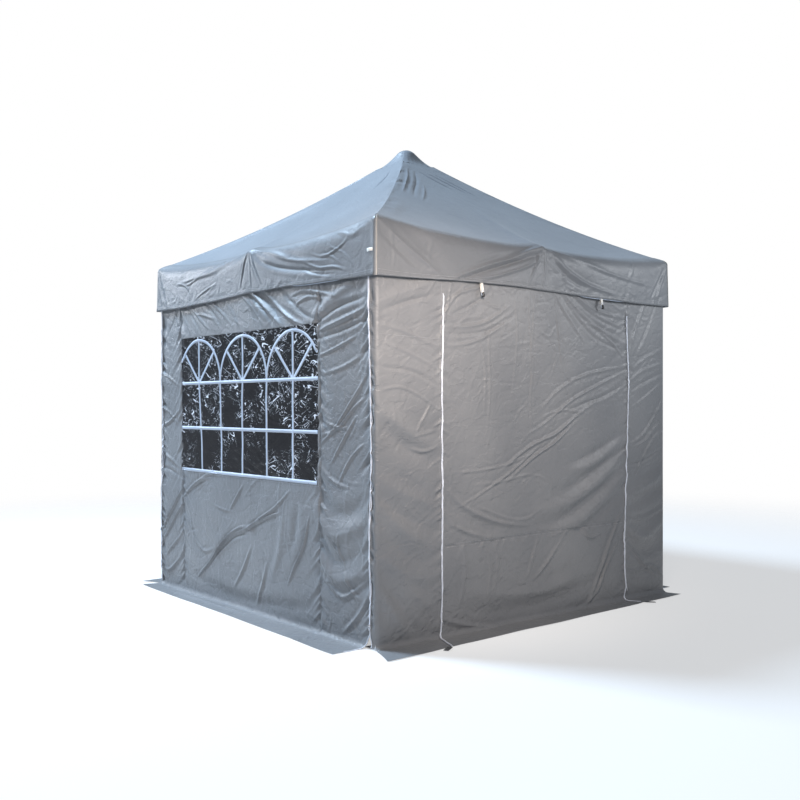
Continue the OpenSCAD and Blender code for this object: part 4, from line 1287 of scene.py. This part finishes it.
def make_canopy(side):
    flip = side in FACES_IN
    size = 0.0085 if side in ("front", "left") else 0.012
    q = np.linspace(-1, 1, int(2.5 / size))
    rise = np.concatenate([np.linspace(0, 1, 34)[:-1], np.linspace(1, 2, 18)])
    q_all, rise_all = np.meshgrid(q, rise)
    grid = (canopy_points(side, q_all, rise_all), None)
    valance = cloth_piece(side + "_valance_cloth_painted_shade", [grid], valance_cloth_painted_shade, flip)
    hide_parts("valance_" + side)
    fold_with_frame(valance, side)

    rise = np.linspace(2, 3, int(1.3 / size))
    q_all, rise_all = np.meshgrid(q, rise)
    grid = (canopy_points(side, q_all, rise_all), None)
    gore = cloth_piece(side + "_roof_cloth", [grid], roof_cloth, flip)
    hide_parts("roof_" + side)
    fold_with_frame(gore, side, "roof_" + side)


def make_hem(side):
    """The double-stitched band along the valance's lower edge and its rolled end."""
    count = 420
    q = np.linspace(-0.992, 0.992, count)
    band = []
    for rise in (0.0, 0.06, 0.125):
        band.append(canopy_points(side, q, np.full(count, rise), 0.0018 if rise < 0.12 else 0.0002))
    under = canopy_points(side, q, np.zeros(count), -0.0015)
    grid = np.stack([under, *band], 0)
    piece = cloth_piece(side + "_valance_hem", [(grid, None)], valance_cloth_painted_shade, side in FACES_IN)
    fold_with_frame(piece, side)


def make_cap():
    """The apex cap: square where it covers the seams, round at the top."""
    rings, around = 40, 128
    turn = np.arange(around) * 2 * math.pi / around
    t = np.linspace(0, 1, rings)[:, None]
    foot, low, high = CAP_OUT + 0.008, CAP_Z - 0.007, 3.049
    start = math.radians(48)  # slope of the sides where the round top begins
    ball = 0.086
    shoulder = high - ball * (1 - math.cos(start))
    turn_at = 0.72  # share of the rings that the straight sides take
    straight = t < turn_at
    fall = np.clip(t / turn_at, 0, 1)
    swing = (1 - np.clip((t - turn_at) / (1 - turn_at), 0, 1)) * start
    side_size = foot + (ball * math.sin(start) - foot) * fall
    size = np.where(straight, side_size, ball * np.sin(swing))
    side_height = low + (shoulder - low) * (fall - 0.10 * np.sin(math.pi * fall))
    height = np.where(straight, side_height, high - ball * (1 - np.cos(swing)))
    power = 2 + 7 * (1 - fall) ** 1.2
    c, s = np.cos(turn)[None], np.sin(turn)[None]
    radius = size / (np.abs(c) ** power + np.abs(s) ** power) ** (1 / power)
    gather = 1 + 0.012 * np.sin(turn[None] * 22 + 2 * np.sin(turn[None] * 3)) * (1 - fall)
    x, y = radius * gather * c, radius * gather * s
    z = np.broadcast_to(height, x.shape)
    verts = np.vstack([np.stack([x, y, z], -1)[:-1].reshape(-1, 3), [[0, 0, high]]])
    top, last = len(verts) - 1, (rings - 2) * around
    faces = ring_faces(rings - 1, around)
    faces += [(last + k, last + (k + 1) % around, top) for k in range(around)]
    cap = mesh_piece("apex_cap_cloth", verts, faces, roof_cloth)
    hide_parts("apex_cap")
    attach(cap, "mast")


# ---------------------------------------------------------------- stitches, tabs, ties and pulls


def side_point(side, s, out, z):
    x, y = SIDES[side](s, out)
    return np.array([x, y, z])


def outward(side):
    return side_point(side, 0.0, 1.0, 0.0)


def strap(line, wide, thick, up):
    """A flat webbing strap along a line of points; up is the direction of its upper face."""
    line = np.asarray(line, float)
    return tube_mesh(line, wide / 2, thick / 2, np.broadcast_to(up, line.shape), 8)


def lathe(profile, middle, sides=20):
    """A turned body: (radius, height) pairs round an upright line through middle."""
    turn = np.arange(sides) * 2 * math.pi / sides
    profile = np.asarray(profile, float)
    x = profile[:, :1] * np.cos(turn) + middle[0]
    y = profile[:, :1] * np.sin(turn) + middle[1]
    z = np.broadcast_to(profile[:, 1:] + middle[2], x.shape)
    verts = np.stack([x, y, z], -1).reshape(-1, 3)
    faces = ring_faces(len(profile), sides)
    faces.append(tuple(reversed(range(sides))))
    faces.append(tuple(range(len(verts) - sides, len(verts))))
    return verts, faces


STITCH, STITCH_GAP = 0.0055, 0.0035  # length of a stitch and of the gap after it


def stitches(points, normals):
    """A row of small raised stitches along a dense line of points."""
    length = np.concatenate([[0], np.cumsum(np.linalg.norm(np.diff(points, axis=0), axis=1))])
    starts = np.arange(0, length[-1] - STITCH, STITCH + STITCH_GAP)
    at = lambda run, table: np.stack([np.interp(run, length, table[:, k]) for k in range(3)], -1)
    first, last = at(starts, points), at(starts + STITCH, points)
    normal = at(starts, normals)
    way = last - first
    way /= np.linalg.norm(way, axis=1)[:, None]
    across = np.cross(way, normal) * 0.0008
    high = normal * 0.0010
    ring = [first + across, first - across, first - across + high, first + across + high]
    ring += [last + across, last - across, last - across + high, last + across + high]
    verts = np.stack(ring, 1).reshape(-1, 3)
    corners = ((0, 1, 2, 3), (7, 6, 5, 4), (0, 4, 5, 1), (1, 5, 6, 2), (2, 6, 7, 3), (3, 7, 4, 0))
    start = np.arange(len(starts))[:, None, None] * 8
    return verts, (start + np.array(corners)[None]).reshape(-1, 4).tolist()


def wall_stitches(side, s, z):
    s, z = np.broadcast_arrays(np.asarray(s, float), np.asarray(z, float))
    return stitches(wall_points(side, s, z, 0.0006), normals_out(side, wall_points, s, z))


def stitch_piece(name, side, rows, body=None):
    piece = parts_piece(name, rows, thread, smooth=False)
    fold_with_frame(piece, side, body)


def hem_stitches(side, count):
    """The two rows that hold the valance's hem."""
    q = np.linspace(-0.985, 0.985, count)
    surface = lambda side, a, b: canopy_points(side, a, b, 0.0026)
    rows = []
    for rise in (0.03, 0.115):
        level = np.full(count, rise)
        rows.append(stitches(surface(side, q, level), normals_out(side, surface, q, level)))
    return rows


def make_stitches():
    fine = 500
    seam_s = np.linspace(DOOR[0] + 0.02, DOOR[1] - 0.02, fine)
    rows = [wall_stitches("front", seam_s, door_seam(seam_s) + step) for step in (-0.008, 0.008)]
    high = np.linspace(0.12, DOOR_TOP - 0.02, fine)
    rows += [wall_stitches("front", DOOR[0] + 0.013, high), wall_stitches("front", DOOR[1] - 0.013, high)]
    stitch_piece("door_stitches", "front", rows, "door")
    high = np.linspace(0.12, 1.94, fine)
    rows = [wall_stitches("front", DOOR[0] - 0.013, high), wall_stitches("front", DOOR[1] + 0.013, high)]
    strip = np.linspace(-1.22, DOOR[0] - 0.02, fine // 2)
    rows.append(wall_stitches("front", strip, 1.635 - 0.02 * (strip + 1)))
    stitch_piece("front_wall_stitches", "front", rows + hem_stitches("front", fine))
    for side in ("left", "right"):
        rows = []
        for top, foot in SEAMS[side]:
            rows.append(wall_stitches(side, foot + (top - foot) * high / WALL_TOP + 0.006, high))
        for end in (-1, 1):
            for way in (-1, 1):
                rows.append(wall_stitches(side, end * CORNER_ZIP + way * 0.012, high))
        border = 0.009
        across = np.linspace(WINDOW_S[0] - border, WINDOW_S[1] + border, fine)
        upright = np.linspace(WINDOW_Z[0] - border, WINDOW_Z[1] + border, fine // 2)
        rows += [wall_stitches(side, across, z) for z in (WINDOW_Z[0] - border, WINDOW_Z[1] + border)]
        rows += [wall_stitches(side, s, upright) for s in (WINDOW_S[0] - border, WINDOW_S[1] + border)]
        stitch_piece(side + "_wall_stitches", side, rows + hem_stitches(side, fine))
    rows = hem_stitches("rear", fine)
    for top, foot in SEAMS["rear"]:
        rows.append(wall_stitches("rear", foot + (top - foot) * high / WALL_TOP + 0.006, high))
    stitch_piece("rear_wall_stitches", "rear", rows)


PIPE_SHOWS = {  # stretch of each hem where the piping below it shows, as a share q of the side
    "front": (0.22, 0.66),
    "left": (-0.80, -0.34),
    "right": (-0.30, 0.20),
    "rear": (-0.60, 0.10),
}


def make_piping(side):
    """White piping under the hem, seen where the hem lifts, and cream piping down the corners."""
    q = np.linspace(-0.985, 0.985, 360)
    first, last = PIPE_SHOWS[side]
    shows = ease(q, first, first + 0.12) * (1 - ease(q, last - 0.12, last))
    line = canopy_points(side, q, np.zeros(360), -0.003)
    line[:, 2] += 0.004 - 0.0065 * shows
    up = np.broadcast_to(outward(side), line.shape)
    hem_pipe = parts_piece(side + "_hem_piping", [tube_mesh(line, 0.0022, 0.0022, up, 8)], bar_white)
    fold_with_frame(hem_pipe, side)
    if side in ("front", "rear"):
        rise = np.linspace(0.0, 1.55, 60)
        tubes = []
        for end in (-1, 1):
            line = canopy_points(side, np.full(60, end * 0.992), rise, 0.0015)
            tubes.append(tube_mesh(line, 0.0020, 0.0020, np.broadcast_to(outward(side), line.shape), 8))
        corner_pipe = parts_piece(side + "_corner_piping", tubes, piping_cream)
        fold_with_frame(corner_pipe, side)


def make_tie(name, s):
    """A tie for the rolled door: a webbing loop under the hem, a cord lock and its cord."""
    front = HALF + 0.010
    loop = [(0.000, 1.985), (0.006, 1.960), (0.010, 1.935), (0.012, 1.915), (0.009, 1.905), (0.004, 1.912),
            (0.002, 1.935), (-0.001, 1.965)]
    line = smooth_line([(out, z) for out, z in loop], 5)
    path = [side_point("front", s, front + out, z) for out, z in line]
    band = tube_mesh(path, 0.0011, 0.010, np.broadcast_to((1.0, 0.0, 0.0), (len(path), 3)), 8)
    webbing_loop = parts_piece(name + "_loop", [band], webbing)
    turn = np.linspace(0, 2 * math.pi, 40)
    middle_y = np.full(40, -(front + 0.013))
    cord = np.stack([s + 0.011 * np.sin(turn), middle_y, 1.903 - 0.016 * np.cos(turn)], -1)
    ring = tube_mesh(cord, 0.0016, 0.0016, np.broadcast_to((0, -1, 0), (40, 3)), 8)
    cord_ring = parts_piece(name + "_cord", [ring], bar_white)
    barrel = ((0.0040, -0.0140), (0.0068, -0.0130), (0.0080, -0.0100), (0.0080, 0.0050), (0.0072, 0.0070),
              (0.0050, 0.0076), (0.0050, 0.0120), (0.0042, 0.0134), (0.0015, 0.0138))
    lock_body = lathe(barrel, (s + 0.004, -(front + 0.015), 1.893))
    lock = parts_piece(name + "_cord_lock", [lock_body], black_plastic)
    for piece, slot in ((webbing_loop, "wall_cloth"), (cord_ring, "wall_cloth"), (lock, "black_plastic")):
        fold_with_frame(piece, "front")


def make_tabs():
    """The tab on the left valance by the near corner, and the end tabs of the door zips."""
    line = [side_point("left", s, VALANCE_OUT + out, 2.072) for s, out in
            ((-1.250, 0.003), (-1.240, 0.008), (-1.230, 0.010), (-1.218, 0.008), (-1.208, 0.006))]
    band = strap(smooth_line(line, 4), 0.018, 0.0022, outward("left"))
    tab = parts_piece("valance_tab", [band], webbing)
    fold_with_frame(tab, "left")
    tabs = (("left", (-0.905, -1.445), (-0.965, -1.476)), ("right", (0.850, -1.385), (0.905, -1.420)))
    for name, start, end in tabs:
        share = np.linspace(0, 1, 8)[:, None]
        line = np.array([*start, 0.007]) * (1 - share) + np.array([*end, 0.004]) * share
        tape = strap(line, 0.030, 0.003, (0.0, 0.0, 1.0))
        piece = parts_piece("door_zip_end_tab_" + name, [tape], zip_tape)
        fold_with_frame(piece, "front")


def pull_parts(side, s, z, out):
    """A zip slider, its bridge and its pull tab, hanging at height z against a zip."""
    body = [side_point(side, s, out + 0.0035, z + step) for step in np.linspace(0.016, 0.032, 8)]
    swell = 0.0058 * np.array([0.55, 0.8, 0.95, 1.0, 1.0, 1.0, 0.9, 0.7])
    parts = [tube_mesh(body, swell, 0.0034, np.broadcast_to(outward(side), (8, 3)), 12)]
    turn = np.linspace(0, math.pi, 12)
    arc = [(0.005 + 0.0042 * math.sin(a), 0.024 + 0.0065 * math.cos(a)) for a in turn]
    bridge = [side_point(side, s, out + step, z + rise) for step, rise in arc]
    parts.append(tube_mesh(bridge, 0.0011, 0.0011, np.broadcast_to(side_point(side, 1, 0, 0), (12, 3)), 8))
    drops = np.linspace(0.019, 0.0, 10)
    tab = [side_point(side, s, out + 0.0075 - 0.05 * (0.019 - drop), z + drop) for drop in drops]
    spread = 0.0030 * np.array([0.5, 0.75, 0.8, 0.85, 0.9, 1.0, 1.1, 1.15, 1.0, 0.6])
    parts.append(tube_mesh(tab, spread, 0.0009, np.broadcast_to(outward(side), (10, 3)), 10))
    return parts


def make_pulls():
    places = {"door_zip_pull_left": "front", "door_zip_pull_right": "front"}
    for end in ("front", "rear"):
        for side in ("left", "right"):
            places["corner_zip_pull_" + end + "_" + side] = side
    for node, side in places.items():
        low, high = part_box(node)
        middle = (low + high) / 2
        s = middle.x if side == "front" else middle.y
        piece = parts_piece(node + "_metal", pull_parts(side, s, low.z, HALF + 0.001), zip_metal)
        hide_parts(node)
        fold_with_frame(piece, side, node)


make_front_wall()
make_window_wall("left")
make_window_wall("right")
make_rear_wall()
for window_side in ("left", "right"):
    make_window(window_side)
make_zips()
for side_name in SIDES:
    make_canopy(side_name)
    make_hem(side_name)
    make_piping(side_name)
make_cap()
make_stitches()
for tie_name, tie_s in (("tie_left", -0.50), ("tie_right", 0.554)):
    make_tie(tie_name, tie_s)
make_tabs()
make_pulls()


# ---------------------------------------------------------------- finishes of the frame

for node_name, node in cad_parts.items():
    if node.hide_render:
        continue
    for index, old in enumerate(node.data.materials):
        label = (old.name if old else "").split(".")[0]
        finish = {"frame_steel": steel, "black_plastic": black_plastic, "zip_metal": zip_metal}
        node.data.materials[index] = finish.get(label, steel)
